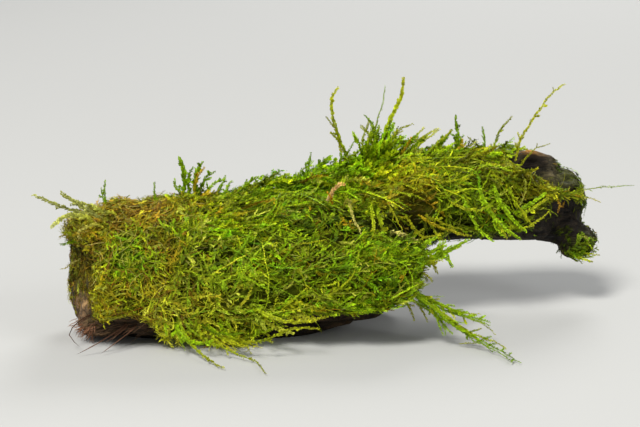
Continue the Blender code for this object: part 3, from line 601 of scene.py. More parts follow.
wood_parts = swollen_nodes(WOOD_NODES)
moss_parts = swollen_nodes(MOSS_NODES)
wood_ground = Ground(*joined(wood_parts))
moss_ground = Ground(*joined(moss_parts))
guide_points, guide_faces = voxel_skin(*joined(wood_parts + moss_parts), GUIDE_VOXEL, 3)
guide = Ground(guide_points, guide_faces)
guide_moss = smooth_step(BARE_HEIGHT, MOSSY_HEIGHT, wood_ground.distance(guide_points))

face_corners = guide_points[guide_faces]
face_cross = np.cross(face_corners[:, 1] - face_corners[:, 0], face_corners[:, 2] - face_corners[:, 0])
face_area = 0.5 * np.linalg.norm(face_cross, axis=1)
face_moss = guide_moss[guide_faces].mean(axis=1)
face_middle = face_corners.mean(axis=1)
face_normal = guide.normals
face_x, face_y, face_z = face_middle.T


# Materials

NOISE_MIDDLE = (0.3, 0.7)  # most of a noise's values lie between these


def new_material(name, roughness):
    material = bpy.data.materials.new(name)
    material.use_nodes = True
    shader = material.node_tree.nodes["Principled BSDF"]
    shader.inputs["Roughness"].default_value = roughness
    return material, material.node_tree, shader


def add_node(tree, kind, **values):
    node = tree.nodes.new(kind)
    for name, value in values.items():
        setattr(node, name, value)
    return node


def add_noise(tree, coordinates, scale, detail, roughness=0.6, distortion=0.0):
    noise = add_node(tree, "ShaderNodeTexNoise")
    noise.inputs["Scale"].default_value = scale
    noise.inputs["Detail"].default_value = detail
    noise.inputs["Roughness"].default_value = roughness
    noise.inputs["Distortion"].default_value = distortion
    tree.links.new(coordinates, noise.inputs["Vector"])
    return noise.outputs["Fac"]


def add_range(tree, value, span, result):
    """The value with the two ends of its span turned into the two of the result."""
    node = add_node(tree, "ShaderNodeMapRange")
    tree.links.new(value, node.inputs["Value"])
    for name, number in zip(("From Min", "From Max", "To Min", "To Max"), (*span, *result)):
        node.inputs[name].default_value = number
    return node.outputs["Result"]


def add_product(tree, first, second):
    """Two colours or values, multiplied."""
    node = add_node(tree, "ShaderNodeMix", data_type="RGBA", blend_type="MULTIPLY")
    node.inputs[0].default_value = 1.0
    tree.links.new(first, node.inputs[6])
    tree.links.new(second, node.inputs[7])
    return node.outputs[2]


def add_bump(tree, height, strength, distance, shader):
    bump = add_node(tree, "ShaderNodeBump")
    bump.inputs["Strength"].default_value = strength
    bump.inputs["Distance"].default_value = distance
    tree.links.new(height, bump.inputs["Height"])
    tree.links.new(bump.outputs["Normal"], shader.inputs["Normal"])


def object_coordinates(tree, scale=(1.0, 1.0, 1.0), turn=0.0):
    coordinates = add_node(tree, "ShaderNodeTexCoord")
    mapping = add_node(tree, "ShaderNodeMapping")
    mapping.inputs["Scale"].default_value = scale
    mapping.inputs["Rotation"].default_value = (0.0, 0.0, turn)
    tree.links.new(coordinates.outputs["Object"], mapping.inputs["Vector"])
    return mapping.outputs["Vector"]


def moss_material(name, roughness, mottle_scale, bump_strength, shine=0.09):
    """Leafy moss: its own tint, mottled finely, with a wet and uneven shine."""
    material, tree, shader = new_material(name, roughness)
    shader.inputs["Specular IOR Level"].default_value = shine
    tint = add_node(tree, "ShaderNodeAttribute", attribute_name="Tint")
    where = object_coordinates(tree)
    mottle = add_noise(tree, where, mottle_scale, 4.0)
    shade = add_range(tree, mottle, NOISE_MIDDLE, (0.60, 1.32))
    tree.links.new(add_product(tree, tint.outputs["Color"], shade), shader.inputs["Base Color"])
    wet = add_range(tree, mottle, NOISE_MIDDLE, (roughness - 0.12, roughness + 0.14))
    tree.links.new(wet, shader.inputs["Roughness"])
    add_bump(tree, add_noise(tree, where, mottle_scale * 4.0, 2.0), bump_strength, 0.0002, shader)
    return material


def wood_material():
    """Damp driftwood: dark brown with paler long grain, and cracks that the tint darkens as painted shade."""
    material, tree, shader = new_material("driftwood_bark", 0.68)
    shader.inputs["Specular IOR Level"].default_value = 0.18
    tint = add_node(tree, "ShaderNodeAttribute", attribute_name="Tint")
    grain_place = object_coordinates(tree, (0.09, 1.0, 1.0), -LOG_HEADING)
    grain = add_noise(tree, grain_place, 620.0, 8.0, 0.68, 0.5)
    fibres = add_noise(tree, grain_place, 1900.0, 3.0, 0.5)
    blotch = add_noise(tree, object_coordinates(tree), 95.0, 5.0)
    colour = tint.outputs["Color"]
    for pattern, values, light in (
        (grain, (0.34, 0.68), (0.30, 1.80)),
        (fibres, NOISE_MIDDLE, (0.50, 1.50)),
        (blotch, NOISE_MIDDLE, (0.55, 1.40)),
    ):
        colour = add_product(tree, colour, add_range(tree, pattern, values, light))
    tree.links.new(colour, shader.inputs["Base Color"])
    tree.links.new(add_range(tree, grain, (0.35, 0.65), (0.50, 0.82)), shader.inputs["Roughness"])
    height = add_node(tree, "ShaderNodeMath", operation="ADD")
    tree.links.new(grain, height.inputs[0])
    tree.links.new(add_range(tree, fibres, (0.0, 1.0), (0.0, 0.35)), height.inputs[1])
    add_bump(tree, height.outputs[0], 0.9, 0.0016, shader)
    return material


# Driftwood

WOOD_VOXEL = 0.95
WOOD_HIDDEN = 3.2  # wood deeper than this under the moss is made coarser
WOOD_KEPT = 0.52  # the share of its triangles that are left
WOOD_LIGHT = 0.82
WOOD_DARK = np.array((0.022, 0.014, 0.007))
WOOD_BROWN = np.array((0.070, 0.041, 0.018))
WOOD_ALGAE = np.array((0.055, 0.062, 0.006))
# Patterns in the wood: how wide their features are along, across and up, and their seed
GRAIN = ((34.0, 3.2, 3.2), 1)
FINE_GRAIN = ((15.0, 1.7, 1.7), 2)
LUMPS = (13.0, 3)
CRACKS = ((42.0, 5.0, 5.0), 4)
WOBBLE = (9.0, 5)
FLAKES = ((11.0, 3.4, 3.4), 6)
LEDGES = ((60.0, 9.0, 2.4), 7)
FRAYS = ((3.0, 8), ((7.0, 2.2, 9.0), 9))
BROWNER = ((30.0, 12.0, 12.0), 11)
GREENER = (9.0, 12)
# Pits sunk in the wood, and lumps raised on it: middle x, y, z, radius and how far out
WOOD_RELIEF = [
    (91, 30, 66, 3.6, -2.4), (96, 30, 65, 3.8, -2.8), (94, 35, 70.5, 4.0, 0.8), (-100, -24, 8, 12.0, 3.0),
    (113, 26, 42, 6.0, -1.2),
]
# Where the wood has another colour, and where painted shade darkens it: middle x, y, z, radius, colour and
# weight
# The near-black patches are painted shade: in the hump's recess at (91..99, 30, 65), on the branch's end face
# at (103, 19, 38) and (114, 28, 40), and low under the branches and the log at (70, 8, 32), (-30, -30, 2),
# (10, -40, 12) and (34, -38, 12)
WOOD_COLOURS_AND_PAINTED_SHADE = [
    (-102, -26, 8, 12, (0.32, 0.19, 0.095), 6.0), (-103, -24, 26, 12, (0.075, 0.060, 0.010), 4.0),
    (-103, -24, 44, 12, (0.085, 0.085, 0.010), 4.0), (-84, -36, 10, 12, (0.058, 0.036, 0.019), 4.0),
    (88, 36, 73, 3.4, (0.40, 0.18, 0.028), 10.0), (94, 36, 72, 3.4, (0.42, 0.19, 0.030), 10.0),
    (100, 37, 71, 3.4, (0.24, 0.13, 0.03), 8.0), (91, 30, 66, 3.8, (0.012, 0.007, 0.005), 90.0),
    (95, 30, 65.5, 3.8, (0.012, 0.007, 0.005), 90.0), (99, 30, 64.5, 3.4, (0.016, 0.010, 0.007), 60.0),
    (106, 31, 61, 7, (0.070, 0.057, 0.030), 6.0), (113, 36, 60, 6, (0.095, 0.105, 0.026), 5.0),
    (103, 19, 38, 13, (0.012, 0.009, 0.006), 12.0), (114, 28, 40, 10, (0.012, 0.009, 0.006), 12.0),
    (121, 40, 40, 4, (0.07, 0.08, 0.015), 4.0), (124, 32, 31, 5, (0.035, 0.036, 0.018), 4.0),
    (70, 8, 32, 22, (0.018, 0.015, 0.008), 3.0), (-30, -30, 2, 28, (0.020, 0.014, 0.008), 3.0),
    (-12, -40, 12, 10, (0.13, 0.048, 0.018), 4.0), (10, -40, 12, 14, (0.016, 0.010, 0.006), 4.0),
    (34, -38, 12, 14, (0.016, 0.010, 0.006), 4.0),
]


def build_driftwood():
    points, faces = voxel_skin(*joined(wood_parts), WOOD_VOXEL, 4)
    spot, outward = guide.nearest(points)
    depth = ((spot - points) * outward).sum(axis=1)
    points, faces = fewer_where_hidden(points, faces, depth > WOOD_HIDDEN, WOOD_KEPT)
    normals = normals_of(points, faces)
    turned = along_log(points)
    wobbled = turned + 3.0 * lattice_noise(turned, *WOBBLE)[:, None]
    grain = lattice_noise(turned, *GRAIN)
    fine = lattice_noise(turned, *FINE_GRAIN)
    cracks = 1.0 - smooth_step(0.0, 0.11, np.abs(lattice_noise(wobbled, *CRACKS)))
    flakes = np.floor(lattice_noise(wobbled, *FLAKES) * 2.5) / 2.5
    ledges = lattice_noise(turned, *LEDGES)
    layers = np.sign(ledges) * np.abs(ledges) ** 0.5
    end = smooth_step(0.55, 0.85, -normals[:, 0]) * smooth_step(-88.0, -96.0, points[:, 0])
    split = smooth_step(-62.0, -80.0, points[:, 0]) * smooth_step(24.0, 14.0, points[:, 2]) * (1.0 - end)

    rise = 0.75 * grain + 0.42 * fine + 0.9 * lattice_noise(points, *LUMPS) - 1.3 * cracks + 0.6 * flakes
    rise = rise * (1.0 - end) + split * 2.2 * layers
    for pattern in FRAYS:
        rise += end * lattice_noise(points, *pattern)
    for x, y, z, radius, out in WOOD_RELIEF:
        rise += out * nearness(points, x, y, z, radius)
    resting = smooth_step(3.0, 0.6, points[:, 2]) * smooth_step(-0.6, -0.9, normals[:, 2])
    points = points + normals * (rise * (1.0 - resting))[:, None]
    points[:, 2] = np.maximum(points[:, 2], 0.0)

    brown = smooth_step(-0.5, 0.6, lattice_noise(points, *BROWNER))
    colours = WOOD_DARK + (WOOD_BROWN - WOOD_DARK) * brown[:, None]
    colours = patched(points, colours, WOOD_COLOURS_AND_PAINTED_SHADE, 3)
    colours *= (1.0 + 0.9 * smooth_step(0.1, 0.9, grain + 0.5 * fine))[:, None]
    # Painted shade in the recesses: near black between the split layers of bark low at the left, and darker
    # in the cracks
    colours *= (1.0 - 0.92 * split * smooth_step(0.45, -0.25, layers))[:, None]
    colours *= (1.0 - 0.75 * cracks)[:, None]
    algae = smooth_step(0.05, 0.6, lattice_noise(points, *GREENER) + 0.4 * normals[:, 2])
    near_moss = smooth_step(12.0, 2.0, moss_ground.distance(points))
    clean_hump = 0.7 * nearness(points, 97, 31, 66, 14)
    share = (0.65 * algae * near_moss * (1.0 - clean_hump))[:, None]
    colours = WOOD_LIGHT * (colours * (1.0 - share) + WOOD_ALGAE * share)
    place(to_mesh("driftwood", points, faces, colours=colours), wood_material(), WOOD_NODES)


build_driftwood()


# Moss mat under the shoots

MAT_SINK = 2.7
MAT_VOXEL = 1.7
GAP_SINK = 3.0
# The mat takes this share of the moss's colour, with MAT_DARK added: painted shade deep under the shoots,
# seen through them and in the gaps
MAT_PAINTED_SHADE = 0.12
MAT_DARK = np.array((0.009, 0.009, 0.001))


def clumps(points):
    """About -1 in the dips between clumps of moss, and about 1 on top of them; shoot_colours uses it for
    painted shade in the dips and painted light on the tops.
    """
    return 0.75 * lattice_noise(points, 8.5, 61) + 0.55 * lattice_noise(points, 4.2, 62)


def thinning(points):
    """How much of the moss is missing at each point, from 0 to 1."""
    kept = np.ones(points.shape[:-1])
    for x, y, z, radius, share in MOSS_GAPS:
        kept = kept * (1.0 - share * nearness(points, x, y, z, radius))
    return 1.0 - kept


def moss_colour(points):
    """The colour of the moss at each point, before each shoot's own share."""
    drift = lattice_noise(points, 17.0, 21)[..., None]
    fleck = lattice_noise(points, 7.5, 22)[..., None]
    base = np.array(GREEN) + (np.array(BRIGHT) - np.array(GREEN)) * smooth_step(-0.2, 0.6, drift)
    base = base + (np.array(OLIVE) - base) * smooth_step(0.15, 0.7, fleck)
    base = base + (np.array(GOLD) - base) * 0.5 * smooth_step(0.45, 0.85, -fleck)
    aged = 0.62 * smooth_step(-56.0, -74.0, points[..., :1])
    base = base + (np.array(TAWNY) - base) * aged
    return patched(points, base, MOSS_PATCHES)


def build_mat():
    points, faces = voxel_skin(guide_points, guide_faces, MAT_VOXEL, 1)
    normals = normals_of(points, faces)
    tangle = 1.2 * lattice_noise(points, 2.4, 31) + 1.0 * lattice_noise(points, (7.0, 2.0, 2.0), 32)
    missing = thinning(points)
    points = points + normals * (-MAT_SINK + 0.9 * tangle - GAP_SINK * missing)[:, None]
    points[:, 2] = np.maximum(points[:, 2], 0.2)
    colours = moss_colour(points) * MAT_PAINTED_SHADE + MAT_DARK
    # Painted shade: darker where the tangle dips, and nearly black in the gaps
    colours *= ((0.7 + 0.5 * smooth_step(-0.8, 0.9, tangle)) * (1.0 - 0.88 * missing))[:, None]
    mesh = to_mesh("moss_mat", points, faces, colours=colours)
    place(mesh, moss_material("moss_mat_tangle", 0.7, 700.0, 0.6, 0.04), MOSS_NODES)


build_mat()


# The shape of leafy shoots

STEM_SIDES = 3
STEM_LIGHT = 0.85
LEAF_FOLD = 0.26
LEAF_LENGTHS = (0.65, 1.3)  # the least and the most of a leaf's length, over that of its shoot's leaves
LEAF_LIGHTS = (0.55, 1.45)
FOLDED_LIGHT = np.array((0.72, 1.0, 1.15, 1.0))  # at a folded leaf's root, side, tip and other side
PLAIN_LIGHT = np.array((0.85, 1.15, 0.85))  # at a plain leaf's one side, tip and other side
MOST_COLOUR = 0.9
THREAD_UP = np.array((0.13, 0.31, 0.94))  # any direction that no bare thread runs along
THREAD_STRETCH = np.array((1.0, 4.0))  # lets a bare thread take the part of its cell that leaves would
CELL_MARGIN = 0.04
CELL_STRETCH = np.array((1.0, 1.6))  # fills each shoot's cell of the map
STEM_CELL = 0.14  # the share of a shoot's cell, from its lower edge, that its stem takes
LEAF_LOW, LEAF_MIDDLE, LEAF_HIGH = 0.17, 0.36, 0.58  # and where its leaves start, widen and end


def stem_pattern(rings):
    """Faces, and their corners in the cell, of one stem with a pointed tip."""
    faces = [(2, 1, 0)]
    corners = [((0.0, 0.0), (0.0, STEM_CELL), (0.02, STEM_CELL / 2.0))]
    tip = STEM_SIDES * (rings - 1)
    for ring in range(rings - 1):
        u0, u1 = ring / (rings - 1), (ring + 1) / (rings - 1)
        for s in range(STEM_SIDES):
            a, b = ring * STEM_SIDES + s, ring * STEM_SIDES + (s + 1) % STEM_SIDES
            v0, v1 = STEM_CELL * s / STEM_SIDES, STEM_CELL * (s + 1) / STEM_SIDES
            if ring == rings - 2:
                faces.append((a, b, tip))
                corners.append(((u0, v0), (u0, v1), (u1, 0.5 * (v0 + v1))))
            else:
                faces += [(a, b, b + STEM_SIDES), (a, b + STEM_SIDES, a + STEM_SIDES)]
                corners += [((u0, v0), (u0, v1), (u1, v1)), ((u0, v0), (u1, v1), (u1, v0))]
    return np.array(faces), np.array(corners)


def leaf_pattern(leaves, folded):
    """The same for its leaves. A folded leaf is a kite of two faces, and a plain one is a single blade."""
    faces, corners = [], []
    for j in range(leaves):
        u0, u1 = j / leaves, (j + 0.92) / leaves
        um = 0.5 * (u0 + u1)
        if folded:
            k = 4 * j
            faces += [(k, k + 3, k + 2), (k, k + 2, k + 1)]
            corners.append(((um, LEAF_LOW), (u1, LEAF_MIDDLE), (um, LEAF_HIGH)))
            corners.append(((um, LEAF_LOW), (um, LEAF_HIGH), (u0, LEAF_MIDDLE)))
        else:
            k = 3 * j
            faces.append((k, k + 2, k + 1))
            corners.append(((u0, LEAF_LOW), (u1, LEAF_LOW), (um, LEAF_HIGH)))
    return np.array(faces), np.array(corners)


def directions(lines, ups):
    """Which way is ahead, sideways and up at each point of the lines."""
    ahead = unit(np.gradient(lines, axis=1))
    side = unit(np.cross(ahead, ups))
    return ahead, side, np.cross(side, ahead)


def part_way(lines, along):
    """For places along the lines, from 0 to 1: the point before each, and how far it is to the next one."""
    spot = along * (lines.shape[1] - 1)
    before = np.minimum(spot.astype(int), lines.shape[1] - 2)
    return before, (spot - before)[..., None]


def stems(lines, side, up, radii):
    """Points, faces and cell corners of stems along the lines, and how far along its stem each point is."""
    count, rings = lines.shape[:2]
    angles = (2.0 * np.pi * np.arange(STEM_SIDES) / STEM_SIDES)[None, None, :, None]
    around = side[:, :-1, None] * np.cos(angles) + up[:, :-1, None] * np.sin(angles)
    skin = lines[:, :-1, None] + around * radii[:, :-1, None, None]
    points = np.concatenate([skin.reshape(count, -1, 3), lines[:, -1:]], axis=1)
    along = np.append(np.repeat(np.linspace(0.0, 1.0, rings)[:-1], STEM_SIDES), 1.0)
    return points, *stem_pattern(rings), along


def one_batch(points, faces, corners, colours, smooth):
    """Shoots of the same pattern as assemble takes them: points and colours are (shoots, points, 3)."""
    count = len(points)
    first_point = (np.arange(count) * points.shape[1])[:, None, None]
    return {
        "points": points.reshape(-1, 3),
        "faces": (faces[None] + first_point).reshape(-1, 3),
        "uv": np.tile(corners[None], (count, 1, 1, 1)).reshape(-1, 3, 2),
        "colours": colours.reshape(-1, 3),
        "owner": np.repeat(np.arange(count), len(faces)),
        "smooth": np.tile(smooth, count),
    }


def leafy(lines, ups, look):
    """Shoots with leaves in two rows along them, in one batch.

    lines and ups are (shoots, points, 3): middle lines from root to tip, and which way is up along them.
    look holds one value per shoot of radius, leaf_length, leaf_width, roll, colour_root and colour_tip, and
    one for all of leaves, folded, fan (the leaves' angle to the stem), tilt and first_leaf.
    """
    count, rings = lines.shape[:2]
    ahead, side, up = directions(lines, ups)
    turn = look["roll"][:, None, None]
    side, up = side * np.cos(turn) + up * np.sin(turn), up * np.cos(turn) - side * np.sin(turn)
    radii = look["radius"][:, None] * (1.0 - 0.6 * np.linspace(0.0, 1.0, rings)[None])
    stem_points, stem_faces, stem_corners, stem_along = stems(lines, side, up, radii)

    leaves, first = look["leaves"], look["first_leaf"]
    order = np.arange(leaves)
    jitter = rng.uniform(-0.4, 0.4, (count, leaves)) / leaves
    along = np.clip((first + (1.0 - first) * (order + 0.5) / leaves)[None] + jitter, 0.0, 0.999)
    before, share = part_way(lines, along)
    row = np.arange(count)[:, None]

    def between(values):
        return values[row, before] * (1.0 - share) + values[row, before + 1] * share

    forward, out, high = (unit(between(values)) for values in (ahead, side, up))
    hand = np.where(order % 2 == 0, 1.0, -1.0)[None, :, None]
    tilt = rng.normal(0.12, look["tilt"], (count, leaves, 1))
    lateral = unit(out * hand * np.cos(tilt) + high * np.sin(tilt))
    fan = np.clip(rng.normal(look["fan"], 0.18, (count, leaves, 1)), 0.15, 1.5)
    pointing = forward * np.cos(fan) + lateral * np.sin(fan)
    taper = (1.0 - 0.55 * along**3) * np.minimum(1.0, 0.55 + 2.5 * (along - first))
    length = look["leaf_length"][:, None] * taper * rng.uniform(*LEAF_LENGTHS, (count, leaves))
    length = length[..., None]
    width = look["leaf_width"][:, None, None] * (0.7 + 0.3 * taper[..., None])
    flat = unit(np.cross(pointing, high))
    face_up = np.cross(flat, pointing)
    root = between(lines) + lateral * (look["radius"] * 0.5)[:, None, None]
    curl = rng.normal(0.06, 0.12, (count, leaves, 1))
    tip = root + pointing * length + face_up * length * curl
    if look["folded"]:
        middle = root + pointing * length * 0.42 + face_up * width * LEAF_FOLD
        corners = [root, middle + flat * width * 0.5, tip, middle - flat * width * 0.5]
        corner_light = FOLDED_LIGHT
    else:
        corners = [root + flat * width * 0.45, tip, root - flat * width * 0.45]
        corner_light = PLAIN_LIGHT
    leaf_points = np.stack(corners, axis=2).reshape(count, -1, 3)
    leaf_faces, leaf_corners = leaf_pattern(leaves, look["folded"])

    root_colour, tip_colour = look["colour_root"][:, None], look["colour_tip"][:, None]
    stem_colour = (root_colour + (tip_colour - root_colour) * stem_along[None, :, None]) * STEM_LIGHT
    leaf_colour = root_colour + (tip_colour - root_colour) * (along**0.8)[..., None]
    leaf_colour = leaf_colour * rng.uniform(*LEAF_LIGHTS, (count, leaves, 1))
    leaf_colour = (leaf_colour[:, :, None] * corner_light[None, None, :, None]).reshape(count, -1, 3)

    points = np.concatenate([stem_points, leaf_points], axis=1)
    faces = np.concatenate([stem_faces, leaf_faces + stem_points.shape[1]])
    corners = np.concatenate([stem_corners, leaf_corners])
    colours = np.clip(np.concatenate([stem_colour, leaf_colour], axis=1), 0.0, MOST_COLOUR)
    return one_batch(points, faces, corners, colours, np.arange(len(faces)) < len(stem_faces))


def tubes(lines, radii, colours):
    """Bare threads along (count, points, 3) middle lines, in one batch."""
    _, side, up = directions(lines, THREAD_UP)
    thick = radii[:, None] * (1.0 - 0.7 * np.linspace(0.0, 1.0, lines.shape[1])[None] ** 2)
    points, faces, corners, along = stems(lines, side, up, thick)
    shades = colours[:, None] * (0.7 + 0.5 * along)[None, :, None]
    return one_batch(points, faces, corners * THREAD_STRETCH, shades, np.ones(len(faces), bool))


def assemble(name, batches, material, replaced=()):
    """Joins batches of shoots in one piece. Each shoot has its own cell of the piece's map."""
    cells = sum(int(batch["owner"].max()) + 1 for batch in batches)
    across = math.ceil(math.sqrt(cells))
    points, faces, uvs, colours, smooth = [], [], [], [], []
    first_point, first_cell = 0, 0
    for batch in batches:
        cell = batch["owner"] + first_cell
        corner = np.stack([cell % across, cell // across], axis=1)[:, None, :]
        inner = batch["uv"] * CELL_STRETCH * (1.0 - 2.0 * CELL_MARGIN)
        uvs.append((corner + CELL_MARGIN + inner) / across)
        points.append(batch["points"])
        faces.append(batch["faces"] + first_point)
        colours.append(batch["colours"])
        smooth.append(batch["smooth"])
        first_point += len(batch["points"])
        first_cell += int(batch["owner"].max()) + 1
    points = np.concatenate(points)
    points[:, 2] = np.maximum(points[:, 2], LOWEST * 0.5)
    arrays = [np.concatenate(parts) for parts in (faces, uvs, colours, smooth)]
    place(to_mesh(name, points, *arrays), material, replaced)


# How shoots grow

def scatter(count, weight):
    """Random places on the guide, spread by a weight per face, with their normals."""
    chance = face_area * weight
    picked = rng.choice(len(chance), size=count, p=chance / chance.sum())
    a, b = rng.random((2, count))
    flip = a + b > 1.0
    a, b = np.where(flip, 1.0 - a, a)[:, None], np.where(flip, 1.0 - b, b)[:, None]
    first, second, third = np.moveaxis(face_corners[picked], 1, 0)
    return first + a * (second - first) + b * (third - first), face_normal[picked]


def headings_at(points, extra_spread=1.0):
    """Which way each shoot sets out, in the plane seen from the front, with clumps that lie alike."""
    east, north, total, spread = (np.zeros(len(points)) for _ in range(4))
    for x, z, radius, angle, turn in SWEEPS:
        gap = np.hypot(points[:, 0] - x, points[:, 2] - z)
        share = np.exp(-((gap / radius) ** 2)) + 1e-5
        east += share * math.cos(math.radians(angle))
        north += share * math.sin(math.radians(angle))
        spread += share * turn
        total += share
    angle = np.arctan2(north, east)
    spread = np.radians(spread / total) * extra_spread
    clump = lattice_noise(points, 9.0, 41) * 1.5
    angle = angle + clump * spread + rng.normal(0.0, 0.62, len(points)) * spread
    depth = 0.55 * lattice_noise(points, 13.0, 42) + rng.normal(0.0, 0.35, len(points))
    return unit(np.stack([np.cos(angle), depth, np.sin(angle)], axis=1))


def creep(roots, headings, lengths, start, end, steps, wander, curl, release, drift):
    """Middle lines of shoots over the moss, from height start to height end above the guide.

    curl is how far each shoot turns along its way, release, from 0 to 1, is how far it leaves the surface
    towards its tip, and drift bends it.
    """
    stride = (lengths / (steps - 1))[:, None]
    heading = headings.copy()
    spot, up = guide.nearest(roots)
    point = spot + up * start[:, None]
    lines, ups = [point], [up]
    for k in range(1, steps):
        t = k / (steps - 1)
        hold = np.clip(1.0 - release * (0.35 + 1.3 * t), 0.0, 1.0)
        heading = heading + rng.normal(0.0, 1.0, heading.shape) * wander[:, None]
        heading = heading + np.array(drift) / (steps - 1)
        heading = heading + np.cross(up, heading) * (curl / (steps - 1))[:, None]
        inward = (heading * up).sum(axis=1, keepdims=True)
        heading = unit(heading - up * inward * hold[:, None])
        free = point + heading * stride
        spot, up = guide.nearest(free)
        height = ((free - spot) * up).sum(axis=1)
        wanted = start + (end - start) * t**1.3
        held = height + (wanted - height) * hold
        held = np.maximum(held, np.minimum(wanted, start + 1.0))
        point = free + up * (held - height)[:, None]
        point[:, 2] = np.maximum(point[:, 2], LOWEST)
        lines.append(point)
        ups.append(up)
    return np.stack(lines, axis=1), np.stack(ups, axis=1)


# Painted light and shade on the shoots: how much brighter or darker they are along x, and then by middle x,
# y, z, radius and how much is added or taken away
PAINTED_LIGHT_ALONG = ((-100.0, -82.0, -66.0, -42.0, -20.0, 10.0, 60.0, 100.0),
               (1.08, 0.92, 0.88, 0.74, 0.78, 0.67, 0.52, 0.60))
PAINTED_LIGHT_PATCHES = ((27, 2, 65, 9, 0.9), (-54, -40, 16, 16, 0.35), (33, -13, 48, 10, -0.50))
# The share of shoots that are pale all over: faded shoots, and painted highlights among the green
PALE_SHARE = 0.055
# Roots darker than tips: partly older growth, partly painted shade deep in the moss
ROOT_AGE_AND_SHADE = np.array((0.46, 0.46, 0.5))


def shoot_colours(points, shade, dead):
    """Root and tip colours for shoots that start at these points, with painted light and shade in them."""
    count = len(points)
    # Painted shade in the dips between clumps and in the gaps, painted light and shade along x and in
    # patches, and painted light on low shoots, up to twice as bright from z 26 down to z 6
    light = np.exp(0.58 * clumps(points)) * (1.0 - 0.85 * thinning(points))
    light *= np.interp(points[:, 0], *PAINTED_LIGHT_ALONG) * (1.0 + smooth_step(26.0, 6.0, points[:, 2]))
    for x, y, z, radius, change in PAINTED_LIGHT_PATCHES:
        light *= 1.0 + change * nearness(points, x, y, z, radius)
    colour = moss_colour(points) * (light * shade)[:, None] * np.exp(rng.normal(0.0, 0.36, (count, 1)))
    hue = rng.normal(0.0, 0.11, (count, 1))
    colour = colour * np.concatenate([1.0 + hue, 1.0 - 0.4 * hue, 1.0 + 0.5 * hue], axis=1)
    kinds = rng.random(count)
    wilted = smooth_step(-0.1, 0.7, lattice_noise(points, 8.0, 71))
    wilted = wilted + 0.2 * smooth_step(-50.0, -75.0, points[:, 0])
    right = smooth_step(-66.0, -44.0, points[:, 0])
    old = kinds < dead * (0.25 + 1.6 * wilted) * (1.0 - 0.5 * right)
    withered = np.array(BROWN) + (np.array(GOLD) - np.array(BROWN)) * right[old, None]
    colour[old] = withered * rng.uniform(0.35, 1.1, (old.sum(), 1))
    pale = kinds > 1.0 - PALE_SHARE
    colour[pale] = np.array(PALE) * rng.uniform(0.7, 1.2, (pale.sum(), 1))
    return colour * ROOT_AGE_AND_SHADE, colour * rng.uniform(1.0, 1.4, (count, 1))


def side_shoots(lines, ups, look, per_shoot, length, leaves, rings=3):
    """Short side branches on alternate sides of main shoots, with their look."""
    count = len(lines)
    row = np.arange(count)
    ahead, side, _ = directions(lines, ups)
    new_lines, new_ups, places = [], [], []
    for b in range(per_shoot):
        t = np.clip((b + 0.9 + rng.uniform(-0.35, 0.35, count)) / (per_shoot + 0.9), 0.12, 0.92)
        near, share = part_way(lines, t)
        forward, up = ahead[row, near], ups[row, near]
        hand = np.where((b + rng.integers(0, 2, count)) % 2 == 0, 1.0, -1.0)[:, None]
        angle = rng.uniform(0.5, 1.05, (count, 1))
        lift = rng.normal(0.15, 0.30, (count, 1))
        going = unit(forward * np.cos(angle) + side[row, near] * hand * np.sin(angle) + up * lift)
        reach = (length * (1.15 - 0.75 * t) * rng.uniform(0.6, 1.35, count))[:, None]
        bend = unit(going + forward * 0.5)
        branch = [lines[row, near] * (1 - share) + lines[row, near + 1] * share]
        for r in range(1, rings):
            blend = 0.5 * r / (rings - 1)
            branch.append(branch[-1] + unit(going * (1 - blend) + bend * blend) * reach / (rings - 1))
        new_lines.append(np.stack(branch, axis=1))
        new_ups.append(np.repeat(up[:, None], rings, axis=1))
        places.append(t)
    owners = np.tile(row, per_shoot)
    t = np.concatenate(places)[:, None]
    root, tip = look["colour_root"][owners], look["colour_tip"][owners]
    new_look = {
        **look,
        "radius": 0.6 * look["radius"][owners],
        "leaves": leaves,
        "leaf_length": 0.85 * look["leaf_length"][owners],
        "leaf_width": 0.92 * look["leaf_width"][owners],
        "roll": rng.normal(0.0, 0.7, len(owners)),
        "colour_root": root + (tip - root) * t,
        "colour_tip": tip * rng.uniform(0.95, 1.3, (len(owners), 1)),
        "first_leaf": 0.08,
    }
    return np.concatenate(new_lines), np.concatenate(new_ups), new_look


def on_foot(points):
    """1 on the small cushion at the low foot of the back branch."""
    return smooth_step(106.0, 110.0, points[:, 0]) * smooth_step(40.0, 36.0, points[:, 2])


populations = []


